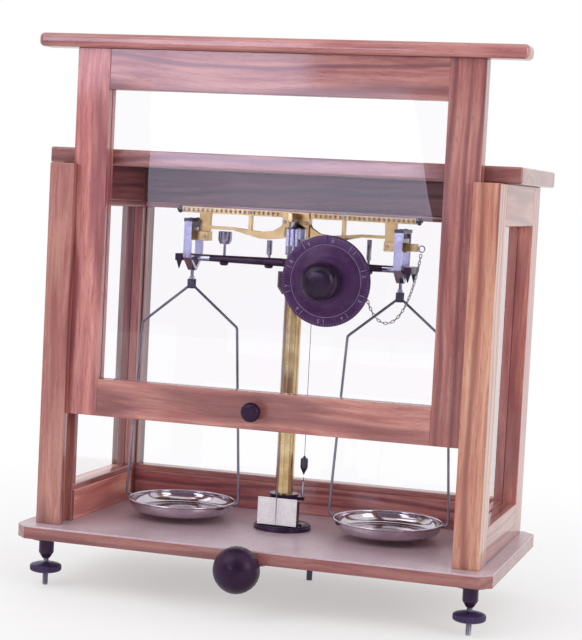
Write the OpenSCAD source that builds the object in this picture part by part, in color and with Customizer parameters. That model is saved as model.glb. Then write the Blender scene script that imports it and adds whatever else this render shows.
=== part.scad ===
// Two pan analytical balance with a chain weight, in a glazed wooden case.
// Millimetres, +Z up. Z = 0 is the table under the three feet, X = 0 the middle.
// Inside on_base() heights count from the top of the base, depths from its front edge.

/* [Base] */
// Width of the base board
base_w = 410; // [380:1:440]
// Depth of the base board
base_d = 212; // [200:1:240]
// Thickness of the wooden base board
board_t = 9.7; // [9:0.1:14]
// Thickness of the pale facing on the base
facing_t = 1.5; // [0.8:0.1:3]
// Length cut off each corner of the base
corner_cut = 10; // [4:1:12]

/* [Case] */
// Bare strip of base beside the case
side_margin = 13; // [11:1:20]
// Bare strip of base in front of the case
front_margin = 16; // [12:1:20]
// Bare strip of base behind the case
back_margin = 6; // [2:1:12]
// Width of a corner post
post_w = 22; // [20:1:26]
// Depth of a corner post
post_d = 30; // [28:1:36]
// Height of the corner posts
post_h = 307; // [300:1:330]
// Height of the rails that lie on the base
low_rail_h = 30; // [20:1:36]
// Height of the rails under the top board
top_rail_h = 34; // [24:1:40]
// Thickness of the frame outside the fixed panes
stop_t = 12.5; // [10:0.5:14]
// Thickness of every pane
pane_t = 2; // [1.6:0.1:2.5]
// How deep the frame is cut away for a fixed pane
rebate = 4; // [3:0.5:5]
// How far the top board stands out at each side
top_over = 12; // [6:1:14]
// Thickness of the top board
top_t = 13.8; // [10:0.2:18]

/* [Sash] */
// Wood left in front of the sash groove
lip = 8; // [6:0.5:9]
// How far the sash runs into each post
groove = 5; // [4:0.5:6]
// Thickness of the sash
sash_t = 15; // [12:0.5:15]
// Width of the upright parts of the sash
stile_w = 29.5; // [24:0.5:34]
// Height of the lower rail of the sash
sash_low_h = 31.4; // [26:0.2:40]
// Height of the upper rail of the sash
sash_top_h = 34; // [26:1:40]
// How far the sash is raised at rest
sash_lift = 94.6; // [20:0.2:120]
// How far the cap stands out at each side of the sash
cap_over = 34; // [26:1:38]
// Thickness of the cap along the top of the sash
cap_t = 11.6; // [8:0.2:14]
// Depth of the cap, front to back
cap_d = 24; // [20:1:25]
// Diameter of the knob on the sash
sash_knob_d = 16.5; // [12:0.5:24]

/* [Feet] */
// Distance of the front feet from the side edges
foot_in = 20; // [18:1:30]
// Distance of the front feet from the front edge
foot_front = 25; // [18:1:30]
// Depth of the threaded socket under the base
socket_h = 19.8; // [16:0.2:26]
// Diameter of the levelling screws
screw_d = 5; // [4:0.5:6]
// Diameter of the levelling wheels
wheel_d = 27; // [22:1:34]
// Thickness of the levelling wheels
wheel_t = 9; // [6:0.5:12]
// Free thread between socket and wheel
wheel_gap = 3.5; // [3:0.5:6]
// Free thread below the wheel
tip_len = 11; // [8:0.5:16]
// Diameter of the fixed rear foot
rear_foot_d = 5.3; // [4:0.1:8]
// How far right of the middle the rear foot stands
rear_foot_x = 12; // [0:1:20]
// Distance of the rear foot from the front edge
rear_foot_y = 160; // [150:1:185]

/* [Arrest] */
// Diameter of the arrest knob
knob_d = 38.5; // [30:0.5:44]
// Thickness of the arrest knob
knob_t = 24; // [18:0.5:28]
// Gap between the arrest knob and the base
knob_gap = 6; // [4:0.5:10]
// Diameter of the arrest shaft
shaft_d = 5.5; // [4.5:0.1:6]
// How far the arrest lowers its arm
lift = 2.5; // [1.5:0.1:2.8]
// Diameter of the arrest arm at the column
arm_d = 7.3; // [6:0.1:8]
// Distance of the outer pillars from the column
pillar_out = 65; // [55:1:70]
// Distance of the inner pillars from the column
pillar_in = 24; // [20:1:30]

/* [Column] */
// Distance of the beam from the front edge of the base
beam_y = 108; // [104:1:114]
// Diameter of the column
column_d = 15.5; // [14:0.5:18]
// Height of the column above the base
column_h = 238; // [225:1:242]
// Diameter of the foot of the column
flange_d = 50; // [44:1:54]
// Width of the scale plate
plate_w = 35; // [28:1:36]
// Height of the scale plate
plate_h = 23.5; // [20:0.5:24]
// Distance of the scale plate in front of the beam
plate_ahead = 18.5; // [17:0.5:20]

/* [Beam] */
// Distance from the middle knife to each end knife
arm_len = 94; // [88:1:98]
// Thickness of the beam
beam_t = 5; // [4:0.5:7]
// Height of the graduated bar along the top of the beam
bar_h = 5; // [4:0.5:7]
// Height of the middle knife edge above the column
pivot_h = 24; // [22:0.5:26]
// Diameter of the pointer
pointer_d = 1.5; // [1:0.1:2]
// Distance of each strut of the beam from the end knife
strut_in = 52; // [46:0.5:58]

/* [Hangers] */
// Height of the rim of the pans above the base
pan_rim = 17; // [14:0.5:24]
// Radius of the pans
pan_r = 46.5; // [36:0.5:48]
// Depth of the pans
pan_deep = 11; // [7:0.5:11.5]
// Thickness of the pans
pan_t = 1; // [0.8:0.1:1.4]
// Diameter of the wire of the bows
wire_d = 3; // [2:0.1:3.4]
// Drop from the knife edge to the corners of a stirrup
corner_drop = 30; // [28:0.5:34]
// Drop from the knife edge to the point of a stirrup
point_drop = 42; // [41.5:0.5:45]
// Drop from the knife edge to the pin of the bow
hook_drop = 52; // [50:0.5:58]
// Drop from the pin to the shoulders of the bow
shoulder_drop = 38.5; // [30:0.5:50]

/* [Dial] */
// Distance of the dial right of the column
dial_x = 38; // [37:0.5:42]
// Height of the middle of the dial, measured down from the top of the column
dial_z = -19; // [-22:0.5:-16]
// Diameter of the dial
dial_d = 77; // [66:0.5:78]
// Distance of the dial's face from the front edge of the base
dial_y = 72; // [71:0.5:73]
// Diameter of the knob on the dial
dial_knob_d = 32; // [26:0.5:40]
// Length of the knob on the dial
dial_knob_l = 27; // [18:0.5:28]
// Radius at which the chain leaves the drum
wrap_r = 30; // [26:0.5:31]
// Tightness of the bend at the chain's lowest point
chain_bend = 8.35; // [7:0.05:9]
// Length of one link of the chain inside
link_in = 3.4; // [3:0.1:4]
// Thickness of the wire of the chain
link_wire = 0.5; // [0.35:0.05:0.55]

/* [Plumb line] */
// Distance of the plumb line right of the column
plumb_x = 17; // [16.5:0.5:18.5]
// Height of the top of the plumb bob above the base
bob_top = 65; // [60:1:80]
// Length of the plumb bob
bob_l = 16.5; // [12:0.5:20]
// Diameter of the plumb bob
bob_d = 6.5; // [4:0.5:8]

/* [Hidden] */
$fn = 48;

// Running clearance round a shaft, on the radius
run = 0.05;
// Clearance where a loose piece slides in wood or metal
slip = 0.5;
// Gap that parts two knife faces
hair = 0.04;

base_t = board_t + facing_t;
base_top_z = base_t + socket_h + wheel_gap + wheel_t + tip_len;
knob_out = knob_gap + knob_t;
base_front_y = knob_out - (base_d + knob_out) / 2;

post_x1 = base_w / 2 - side_margin;
post_x0 = post_x1 - post_w;
front_y1 = front_margin + post_d;
back_y = base_d - back_margin;
rear_y0 = back_y - post_d;
bead_t = post_w - stop_t - pane_t;
lap = rebate - 0.3;
bead_proud = 1.2;
top_rail_z = post_h - top_rail_h;

sash_y0 = front_margin + lip + slip;
sash_y1 = sash_y0 + sash_t;
groove_y1 = sash_y1 + slip;
sash_x1 = post_x0 + groove - 1;
sash_down_z = 0.4;
sash_z0 = sash_down_z + sash_lift;
sash_h = post_h + 2.4 - sash_down_z;
sash_z1 = sash_z0 + sash_h;
cap_y1 = sash_y1 + 2;
sash_in = sash_x1 - stile_w;
pane_lap = 4;
knob_left = 3.5;

foot_x = base_w / 2 - foot_in;
foot_z = -base_t - socket_h;
socket_d = 12.8;
socket_flange_d = 30;
socket_flange_t = 3;
wheel_z1 = foot_z - wheel_gap;
wheel_z0 = wheel_z1 - wheel_t;
tip_z = wheel_z0 - tip_len;
thread_up = socket_h - 6;

shaft_z = -base_t - shaft_d / 2 - 0.6;
cam_hi = shaft_d / 2 + 1.3 + lift;
cam_lo = cam_hi - lift;
cam_t = 7;
rod_d = 5;
rod_z0 = shaft_z + cam_hi + 0.12;
bracket_behind = 22;
bracket_ys = [base_d * 0.09, beam_y + bracket_behind];

pin_z = column_h - 7;
arm_z = pin_z;
arm_hub_r = 11;
arm_hub_h = 7;
arm_end_d = 5.5;
black_out = arm_len - 15;
stem_d = 2.4;
cup_d = 12;
cup_h = 11;
post_top_d = 4.2;
post_top_h = 18;
inner_top_d = 5;
inner_top_h = 13;
bar_x = arm_len + 6.5;
tilt = 1.2;

head_d = 18.5;
head_h = 14;
knife_z = column_h + pivot_h;
cheek_in = 8;
cheek_out = 14;
cheek_w = 9.5;
plane_h = 1.6;

beam_top_z = knife_z + 13;
bar_z0 = beam_top_z - bar_h;
bar_end = arm_len + 11;
block_z0 = knife_z - 16;
block_z1 = knife_z - 8;
block_x0 = arm_len - 15;
block_x1 = arm_len + 5;
reach_x1 = arm_len + 13.5;
chord_z = knife_z - 5.5;
belly = 6.3;
hub_w = 24;
strut_x = arm_len - strut_in;
strut_w = 3;
knife_w = 8;

ring_r = 2.6;
ring_x = reach_x1 + 3.2;
ring_z = block_z0 + 3.5;

pointer_y = beam_y - plate_ahead - 2.5;
flange_h = 4.5;
collar_z = 26;
collar_h = 5;
collar_d = 24.7;
plate_z = flange_h + 1;
plate_t = 1.5;
plate_y = beam_y - plate_ahead;

stirrup_w = 8;
leg_in = 13.5;
leg_out = 15.8;
hook_z = knife_z - hook_drop;
tongue_w = 3;
bow_pin_d = 1.7;
shoulder_r = pan_r - 2.5;
foot_r = pan_r + 6.5;
rim_roll = 0.9;

dial_r = dial_d / 2;
dial_t = 3.5;
drum_y = dial_y + 12;
drum_w = 10;
groove_r = wrap_r - 2.6;
drum_r = wrap_r + 1;
dial_shaft_d = 6;
boss_y0 = beam_y - 15;
boss_y1 = beam_y - 5;
dial_mid = column_h + dial_z;
hub_h = 19.5;
hub_z1 = column_h - 2 * arm_hub_h - 0.5;
hub_z0 = hub_z1 - hub_h;
hub_r = 14.6;

link_pitch = link_in - 0.45;
link_w = link_in * 0.45 + 2 * link_wire;
chain_top_x = ring_x - 0.4;
chain_top_z = ring_z - ring_r - 1.9;

// Moves children from the base's own zero to the table's
module on_base() {
    translate([0, base_front_y, base_top_z]) children();
}

// A box from its lowest corner to its highest
module box(a, b) {
    translate(a) cube(b - a);
}

// A copy at the left and one at the right
module both_sides() {
    children();
    mirror([1, 0, 0]) children();
}

// A round bar from front to back
module bar_y(d, x, z, y0, y1) {
    translate([x, y0, z]) rotate([-90, 0, 0]) cylinder(d = d, h = y1 - y0);
}

// A round bar from left to right, tapering from d0 to d1
module bar_x(d0, d1, x0, x1, y, z) {
    translate([x0, y, z]) rotate([0, 90, 0]) cylinder(d1 = d0, d2 = d1, h = x1 - x0);
}

module base_outline() {
    c = corner_cut;
    w = base_w / 2;
    polygon([[c - w, 0], [w - c, 0], [w, c], [w, base_d - c], [w - c, base_d], [c - w, base_d],
        [-w, base_d - c], [-w, c]]);
}

// The wooden board under everything, open for the cam and the lifting rod
module base_board() {
    color("sienna") on_base() difference() {
        translate([0, 0, -base_t]) linear_extrude(board_t) base_outline();
        box([-cam_hi - 2, beam_y - cam_t / 2 - 1, -base_t - 1],
            [cam_hi + 2, beam_y + cam_t / 2 + 1, rod_z0 + 2]);
        translate([0, beam_y, -base_t]) cylinder(d = rod_d + 1, h = base_t);
    }
}

// The pale facing that covers the board
module base_facing() {
    color("mistyrose") on_base() difference() {
        translate([0, 0, -facing_t]) linear_extrude(facing_t) base_outline();
        translate([0, beam_y, -base_t]) cylinder(d = rod_d + 1, h = 2 * base_t);
    }
}

// Space that the pane and beads take out of a side wall
module side_rebate() {
    box([post_x0 - 1, front_y1 - rebate, low_rail_h - rebate],
        [post_x1 - stop_t, rear_y0 + rebate, top_rail_z + rebate]);
}

// Space that the pane and beads take out of the back wall
module back_rebate() {
    box([-post_x0 - rebate, back_y - post_w - 1, low_rail_h - rebate],
        [post_x0 + rebate, back_y - stop_t, top_rail_z + rebate]);
}

// A front post with the groove that the sash runs in
module front_post() {
    difference() {
        box([post_x0, front_margin, 0], [post_x1, front_y1, post_h]);
        box([post_x0 - 1, sash_y0 - slip, -1], [post_x0 + groove, groove_y1, post_h + 1]);
        side_rebate();
    }
}

module rear_post() {
    difference() {
        box([post_x0, rear_y0, 0], [post_x1, back_y, post_h]);
        side_rebate();
        back_rebate();
    }
}

module front_left_post() {
    color("sienna") on_base() mirror([1, 0, 0]) front_post();
}

module front_right_post() {
    color("sienna") on_base() front_post();
}

module rear_left_post() {
    color("sienna") on_base() mirror([1, 0, 0]) rear_post();
}

module rear_right_post() {
    color("sienna") on_base() rear_post();
}

module side_rail(z0, z1) {
    difference() {
        box([post_x0, front_y1, z0], [post_x1, rear_y0, z1]);
        side_rebate();
    }
}

module back_rail(z0, z1) {
    difference() {
        box([-post_x0, back_y - post_w, z0], [post_x0, back_y, z1]);
        back_rebate();
    }
}

module left_bottom_rail() {
    color("sienna") on_base() mirror([1, 0, 0]) side_rail(0, low_rail_h);
}

module right_bottom_rail() {
    color("sienna") on_base() side_rail(0, low_rail_h);
}

module back_bottom_rail() {
    color("sienna") on_base() back_rail(0, low_rail_h);
}

module left_top_rail() {
    color("sienna") on_base() mirror([1, 0, 0]) side_rail(top_rail_z, post_h);
}

module right_top_rail() {
    color("sienna") on_base() side_rail(top_rail_z, post_h);
}

module back_top_rail() {
    color("sienna") on_base() back_rail(top_rail_z, post_h);
}

module top_board() {
    color("sienna") on_base() box([-post_x1 - top_over, cap_y1 + slip, post_h],
        [post_x1 + top_over, back_y, post_h + top_t]);
}

module side_pane() {
    box([post_x1 - stop_t - pane_t, front_y1 - lap, low_rail_h - lap],
        [post_x1 - stop_t, rear_y0 + lap, top_rail_z + lap]);
}

module left_pane() {
    color("lightcyan", 0.4) on_base() mirror([1, 0, 0]) side_pane();
}

module right_pane() {
    color("lightcyan", 0.4) on_base() side_pane();
}

module back_pane() {
    color("lightcyan", 0.4) on_base() box([-post_x0 - lap, back_y - stop_t - pane_t, low_rail_h - lap],
        [post_x0 + lap, back_y - stop_t, top_rail_z + lap]);
}

// Strips that hold one pane, round an opening of size a by b seen along the strips' thickness
module bead_frame(a, b) {
    r = rebate;
    p = bead_proud;
    box([-r, -r, 0], [a + r, p, bead_t]);
    box([-r, b - p, 0], [a + r, b + r, bead_t]);
    box([-r, p, 0], [p, b - p, bead_t]);
    box([a - p, p, 0], [a + r, b - p, bead_t]);
}

module glazing_beads() {
    window_h = top_rail_z - low_rail_h;
    color("sienna") on_base() {
        both_sides() translate([post_x0, front_y1, low_rail_h]) rotate([90, 0, 90])
            bead_frame(rear_y0 - front_y1, window_h);
        translate([post_x0, back_y - post_w, low_rail_h]) rotate([90, 0, 180])
            bead_frame(2 * post_x0, window_h);
    }
}

// Grooves in the sash frame for its pane
module sash_groove() {
    g = pane_lap + 0.6;
    mid = (sash_y0 + sash_y1) / 2;
    box([-sash_in - g, mid - pane_t / 2 - 0.1, sash_z0 + sash_low_h - g],
        [sash_in + g, mid + pane_t / 2 + 0.1, sash_z1 - sash_top_h + g]);
}

module sash_stile() {
    difference() {
        box([sash_in, sash_y0, sash_z0], [sash_x1, sash_y1, sash_z1]);
        sash_groove();
    }
}

module sash_left_stile() {
    color("sienna") on_base() mirror([1, 0, 0]) sash_stile();
}

module sash_right_stile() {
    color("sienna") on_base() sash_stile();
}

module sash_rail(z0, z1) {
    difference() {
        box([-sash_in, sash_y0, z0], [sash_in, sash_y1, z1]);
        sash_groove();
    }
}

module sash_bottom_rail() {
    color("sienna") on_base() sash_rail(sash_z0, sash_z0 + sash_low_h);
}

module sash_top_rail() {
    color("sienna") on_base() sash_rail(sash_z1 - sash_top_h, sash_z1);
}

module sash_cap() {
    color("sienna") on_base() box([-sash_x1 - cap_over, cap_y1 - cap_d, sash_z1],
        [sash_x1 + cap_over, cap_y1, sash_z1 + cap_t]);
}

module sash_pane() {
    mid = (sash_y0 + sash_y1) / 2;
    color("lightcyan", 0.4) on_base()
        box([-sash_in - pane_lap, mid - pane_t / 2, sash_z0 + sash_low_h - pane_lap],
            [sash_in + pane_lap, mid + pane_t / 2, sash_z1 - sash_top_h + pane_lap]);
}

// A turned knob whose head bulges, along +Z from its seat
module turned_knob(d, l) {
    r = d / 2;
    rotate_extrude() difference() {
        union() {
            square([r * 0.5, l * 0.4]);
            translate([0, l * 0.3]) square([r * 0.82, l * 0.7]);
            translate([r * 0.82 - l * 0.35 + (r - r * 0.82), l * 0.65]) circle(r = l * 0.35);
        }
        translate([-2 * d, -d]) square([2 * d, 4 * d]);
        translate([-d, l]) square([3 * d, d]);
    }
}

module sash_knob() {
    color("black") on_base() translate([-knob_left, sash_y0, sash_z0 + sash_low_h / 2])
        rotate([90, 0, 0]) turned_knob(sash_knob_d, sash_knob_d * 0.9);
}

// The two threaded sockets that the levelling screws turn in
module foot_sockets() {
    color("black") on_base() both_sides() translate([foot_x, foot_front, 0]) difference() {
        union() {
            translate([0, 0, -base_t - socket_flange_t])
                cylinder(d = socket_flange_d, h = socket_flange_t);
            translate([0, 0, foot_z + 2.5]) cylinder(d = socket_d, h = socket_h - 2.5);
            translate([0, 0, foot_z]) cylinder(d1 = socket_d * 0.67, d2 = socket_d, h = 2.5);
        }
        translate([0, 0, foot_z - 1]) cylinder(r = screw_d / 2 + run, h = socket_h - 1);
    }
}

module foot_screw() {
    translate([0, 0, tip_z + 1]) cylinder(d = screw_d, h = wheel_z0 - tip_z - 1);
    translate([0, 0, tip_z]) cylinder(d1 = screw_d - 1.6, d2 = screw_d, h = 1);
    translate([0, 0, wheel_z0]) cylinder(d = screw_d, h = wheel_t + wheel_gap + thread_up);
}

module foot_wheel() {
    e = 1.5;
    difference() {
        union() {
            translate([0, 0, wheel_z0 + e]) cylinder(d = wheel_d, h = wheel_t - 2 * e);
            translate([0, 0, wheel_z0]) cylinder(d1 = wheel_d - 2 * e, d2 = wheel_d, h = e);
            translate([0, 0, wheel_z1 - e]) cylinder(d1 = wheel_d, d2 = wheel_d - 2 * e, h = e);
        }
        translate([0, 0, wheel_z0 - 1]) cylinder(r = screw_d / 2 + run, h = wheel_t + 2);
    }
}

module left_foot_screw() {
    color("silver") on_base() translate([-foot_x, foot_front, 0]) foot_screw();
}

module right_foot_screw() {
    color("silver") on_base() translate([foot_x, foot_front, 0]) foot_screw();
}

module left_foot_wheel() {
    color("black") on_base() translate([-foot_x, foot_front, 0]) foot_wheel();
}

module right_foot_wheel() {
    color("black") on_base() translate([foot_x, foot_front, 0]) foot_wheel();
}

// The fixed third foot, with the plate that holds it
module rear_foot() {
    color("dimgray") on_base() translate([rear_foot_x, rear_foot_y, 0]) {
        translate([0, 0, tip_z]) cylinder(d = rear_foot_d, h = -base_t - tip_z - 2);
        translate([0, 0, -base_t - 2]) cylinder(d = 3 * rear_foot_d, h = 2);
    }
}

// The round knob under the front edge that works the arrest
module arrest_knob() {
    r = knob_d / 2;
    e = knob_t * 0.25;
    color("black") on_base() translate([0, -knob_gap, shaft_z]) rotate([90, 0, 0]) difference() {
        rotate_extrude() difference() {
            union() {
                square([r, knob_t - e]);
                square([r - e, knob_t]);
                translate([r - e, knob_t - e]) circle(r = e);
            }
            translate([-2 * r, -r]) square([2 * r, 4 * r]);
        }
        translate([0, 0, -1]) cylinder(d = shaft_d, h = knob_t * 0.6 + 1);
    }
}

// Radius of the cam at angle a from the top, turning from the back of the balance
function cam_r(a) = a < 90 ? cam_hi - lift * a / 90 : cam_lo + lift * (a - 90) / 270;

// The shaft of the arrest, with the cam that carries the lifting rod
module arrest_shaft() {
    color("silver") on_base() {
        bar_y(shaft_d, 0, shaft_z, -knob_gap - knob_t * 0.6, bracket_ys[1] + 8);
        translate([0, beam_y + cam_t / 2, shaft_z]) rotate([90, 0, 0]) linear_extrude(cam_t)
            polygon([for (a = [0:6:354]) cam_r(a) * [-sin(a), cos(a)]]);
    }
}

module shaft_brackets() {
    color("dimgray") on_base() for (y = bracket_ys) difference() {
        box([-15, y - 4, -base_t - 0.6 - shaft_d - 3], [15, y + 4, -base_t]);
        bar_y(shaft_d + 2 * run, 0, shaft_z, y - 5, y + 5);
        both_sides() box([8, y - 5, -base_t - 20], [16, y + 5, -base_t - 3]);
    }
}

// One screw head with its slot, facing +Z, with its underside at zero
module screw_head(d) {
    difference() {
        cylinder(d = d, h = d * 0.35);
        box([-d, -d * 0.08, d * 0.2], [d, d * 0.08, d]);
    }
}

// Screws that hold the shaft brackets and the foot of the column
module fixing_screws() {
    color("silver") on_base() {
        for (y = bracket_ys) both_sides() translate([11.5, y, -base_t - 3])
            rotate([180, 0, 0]) screw_head(5);
        for (a = [-10, 90, 190]) rotate_about_column(a)
            translate([flange_d / 2 - 6, 0, flange_h]) screw_head(5.5);
    }
}

module rotate_about_column(a) {
    translate([0, beam_y, 0]) rotate([0, 0, a]) children();
}

// The rod inside the column, its round end on the cam, with the pin that carries the arm
module lifting_rod() {
    color("silver") on_base() translate([0, beam_y, 0]) {
        translate([0, 0, rod_z0 + rod_d / 2]) {
            cylinder(d = rod_d, h = pin_z + 4 - rod_z0 - rod_d / 2);
            sphere(d = rod_d);
        }
        bar_x(3, 3, -arm_hub_r + 0.5, arm_hub_r - 0.5, 0, pin_z);
    }
}

// One side of the arrest arm, out to the cross bar with its two points
module arm_side() {
    translate([0, beam_y, 0]) {
        bar_x(arm_d, arm_end_d + 0.4, arm_hub_r - 1.5, black_out, 0, arm_z);
        bar_x(arm_end_d, arm_end_d, black_out, bar_x, 0, arm_z);
    }
    box([bar_x - 1, beam_y - leg_in, arm_z - 3], [bar_x + 5, beam_y + leg_in, arm_z + 3]);
    for (s = [-1, 1]) translate([bar_x + 2, beam_y + s * (leg_in - 2.5), arm_z - 10])
        cylinder(d1 = 0.8, d2 = 5, h = 7);
}

// The arm that steadies the beam, with the hub that slides on the column
module arrest_arm() {
    color("black") on_base() difference() {
        union() {
            translate([0, beam_y, arm_z - arm_hub_h / 2]) cylinder(r = arm_hub_r, h = arm_hub_h);
            both_sides() arm_side();
        }
        translate([0, beam_y, arm_z - arm_hub_h]) cylinder(r = column_d / 2 + 0.1, h = 2 * arm_hub_h);
        translate([0, beam_y, 0]) bar_x(3, 3, -arm_hub_r + 0.5, arm_hub_r - 0.5, 0, pin_z);
    }
}

// A pillar on the arm at distance x, which just clears the tilted beam, with its nut below
module pillar(x, under_z, head_d, head_h) {
    top = under_z - (abs(x) + head_d / 2) * sin(tilt) - 0.15;
    translate([x, beam_y, 0]) {
        translate([0, 0, arm_z]) cylinder(d = stem_d, h = top - head_h / 2 - arm_z);
        translate([0, 0, top - head_h]) cylinder(d1 = head_d * 0.72, d2 = head_d, h = head_h);
        translate([0, 0, arm_z - arm_d / 2 - 2.2]) cylinder(d = 8, h = 3);
    }
}

// The pillars that steady the beam: a cup at the far left, plain posts elsewhere
module arrest_pillars() {
    color("silver") on_base() difference() {
        union() {
            pillar(-pillar_out, chord_z, cup_d, cup_h);
            pillar(pillar_out, chord_z, post_top_d, post_top_h);
            for (s = [-1, 1]) pillar(s * pillar_in, chord_z - belly, inner_top_d, inner_top_h);
        }
        both_sides() translate([0, beam_y, 0])
            bar_x(arm_d, arm_end_d + 0.4, arm_hub_r - 1.5, black_out, 0, arm_z);
    }
}

// The tube that carries everything, slotted for the pin of the lifting rod
module column() {
    slot_z0 = pin_z - lift - 2.2;
    color("goldenrod") on_base() difference() {
        translate([0, beam_y, flange_h]) cylinder(d = column_d, h = column_h - flange_h);
        translate([0, beam_y, 0]) cylinder(d = rod_d + 2, h = column_h + 1);
        box([-column_d, beam_y - 1.8, slot_z0], [column_d, beam_y + 1.8, pin_z + 2]);
    }
}

// The black ring low on the column, with the fixed point under the plumb bob
module column_collar() {
    color("black") on_base() {
        difference() {
            union() {
                translate([0, beam_y, collar_z]) cylinder(d = collar_d, h = collar_h);
                box([column_d / 2 + 1, beam_y - 1.5, collar_z], [plumb_x + 1.5, beam_y + 1.5, collar_z + 3]);
            }
            translate([0, beam_y, 0]) cylinder(d = column_d, h = column_h);
        }
        translate([plumb_x, beam_y, collar_z + 3])
            cylinder(d1 = 1.6, d2 = 0.5, h = bob_top - bob_l - collar_z - 5);
    }
}

module column_flange() {
    color("black") on_base() translate([0, beam_y, 0]) difference() {
        union() {
            cylinder(d = flange_d, h = flange_h - 1.5);
            cylinder(d = flange_d - 3, h = flange_h);
        }
        translate([0, 0, -1]) cylinder(d = rod_d + 2, h = flange_h + 2);
    }
}

// The white plate that the pointer plays over, on the black block that carries it
module scale_plate() {
    block_w = plate_w * 0.8;
    block_y1 = beam_y - column_d / 2 - 0.3;
    color("white") on_base() {
        box([-plate_w / 2, plate_y, plate_z], [plate_w / 2, plate_y + plate_t, plate_z + plate_h]);
        box([-block_w / 2, plate_y + plate_t, flange_h], [block_w / 2, block_y1, collar_z - 0.2]);
    }
}

// The head of the column, whose two cheeks hold the planes
module column_head() {
    w = cheek_w / 2;
    floor_z = column_h + head_h - 6;
    color("lightsteelblue") on_base() translate([0, beam_y, 0]) {
        translate([0, 0, column_h]) cylinder(d = head_d, h = head_h);
        box([-w, -cheek_out, floor_z], [w, cheek_out, column_h + head_h]);
        for (s = [0, 1]) mirror([0, s, 0])
            box([-w, cheek_in, column_h + head_h], [w, cheek_out, knife_z - plane_h]);
    }
}

// The hard planes that the middle knife rocks on
module knife_planes() {
    w = cheek_w / 2 - 0.7;
    color("darkgray") on_base() translate([0, beam_y, 0]) for (s = [0, 1]) mirror([0, s, 0])
        box([-w, cheek_in, knife_z - plane_h], [w, cheek_out, knife_z - hair]);
}

// Front view of the right half of the beam, heights from the knife edge
module beam_half() {
    low = chord_z - knife_z;
    end_x = block_x0 + 4;
    flat_x = pillar_out - 7;
    translate([0, bar_z0 - knife_z]) square([bar_end, bar_h]);
    polygon([[0, low - 2], [strut_x / 3, low - belly * 0.8], [strut_x * 0.6, low - belly + 0.1],
        [strut_x * 0.8, low - belly * 0.9],
        [flat_x, low], [end_x, low], [end_x, low + 2.6], [flat_x, low + 2.5],
        [strut_x * 0.75, low], [strut_x * 0.5, low + 1.2], [strut_x / 3, low + 5.5],
        [strut_x / 4, low + 11], [0, low + 11]]);
    translate([strut_x - strut_w / 2, low]) square([strut_w, bar_z0 - knife_z - low]);
    polygon([[block_x0, block_z1 - knife_z], [block_x0 - 0.7, bar_z0 - knife_z],
        [block_x0 + 9.3, bar_z0 - knife_z], [block_x0 + 10, block_z1 - knife_z]]);
}

// The knife's section, its edge at the origin, pointing down
module knife_section() {
    polygon([[0, 0], [knife_w / 2, 7], [-knife_w / 2, 7]]);
}

module beam() {
    t = beam_t;
    color("goldenrod") on_base() translate([0, beam_y, 0]) difference() {
        union() {
            translate([0, t / 2, knife_z]) rotate([90, 0, 0]) linear_extrude(t) {
                beam_half();
                mirror([1, 0]) beam_half();
            }
            box([-hub_w / 2, -t, knife_z - 8], [hub_w / 2, t, beam_top_z]);
            both_sides() box([block_x0, -t - 1, block_z0], [block_x1, t + 1, block_z1]);
            box([block_x1 - 1, -t / 2, block_z0 + 1], [reach_x1, t / 2, block_z1 - 0.5]);
        }
        translate([0, t + 2, knife_z]) rotate([90, 0, 0]) linear_extrude(2 * t + 4) knife_section();
        translate([-cheek_w, -2 * t, knife_z - 9]) cube([2 * cheek_w, 4 * t, 8.4]);
    }
}

// The middle knife with its edge down, and the end knives with theirs up
module knife_edges() {
    w = 3;
    color("dimgray") on_base() translate([0, beam_y, 0]) {
        translate([0, cheek_out, knife_z]) rotate([90, 0, 0])
            linear_extrude(2 * cheek_out) knife_section();
        both_sides() translate([arm_len, leg_in - 2.5, knife_z]) rotate([90, 0, 0])
            linear_extrude(2 * (leg_in - 2.5)) polygon([[0, 0], [-w, -4.5], [-w, -8], [w, -8], [w, -4.5]]);
    }
}

module poising_nuts() {
    z = bar_z0 + bar_h / 2;
    color("dimgray") on_base() both_sides() {
        translate([0, beam_y, 0]) bar_x(2.5, 2.5, bar_end, bar_end + 5.5, 0, z);
        translate([0, beam_y, 0]) bar_x(6.5, 6.5, bar_end + 1, bar_end + 4, 0, z);
    }
}

// The long pointer, from its bracket on the middle of the beam down to the plate
module pointer() {
    z1 = beam_top_z - 1;
    r = pointer_d / 2;
    color("gold") on_base() {
        box([-2, pointer_y - r, knife_z + 7.6], [2, beam_y - beam_t, z1]);
        translate([0, pointer_y, plate_z + 8]) cylinder(r = r, h = knife_z + 8 - plate_z - 8);
        translate([0, pointer_y, plate_z + 1]) cylinder(r1 = 0.25, r2 = r, h = 7);
    }
}

// A round ring of wire standing in the plane of the beam
module wire_ring(r, d) {
    rotate([90, 0, 0]) rotate_extrude() translate([r, 0]) circle(d = d, $fn = 24);
}

module chain_hook() {
    color("lightsteelblue") on_base() translate([0, beam_y, 0]) {
        translate([ring_x, 0, ring_z]) wire_ring(ring_r, 1.2);
        bar_x(2.2, 2.2, reach_x1, ring_x - ring_r + 0.4, 0, ring_z);
    }
}

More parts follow.
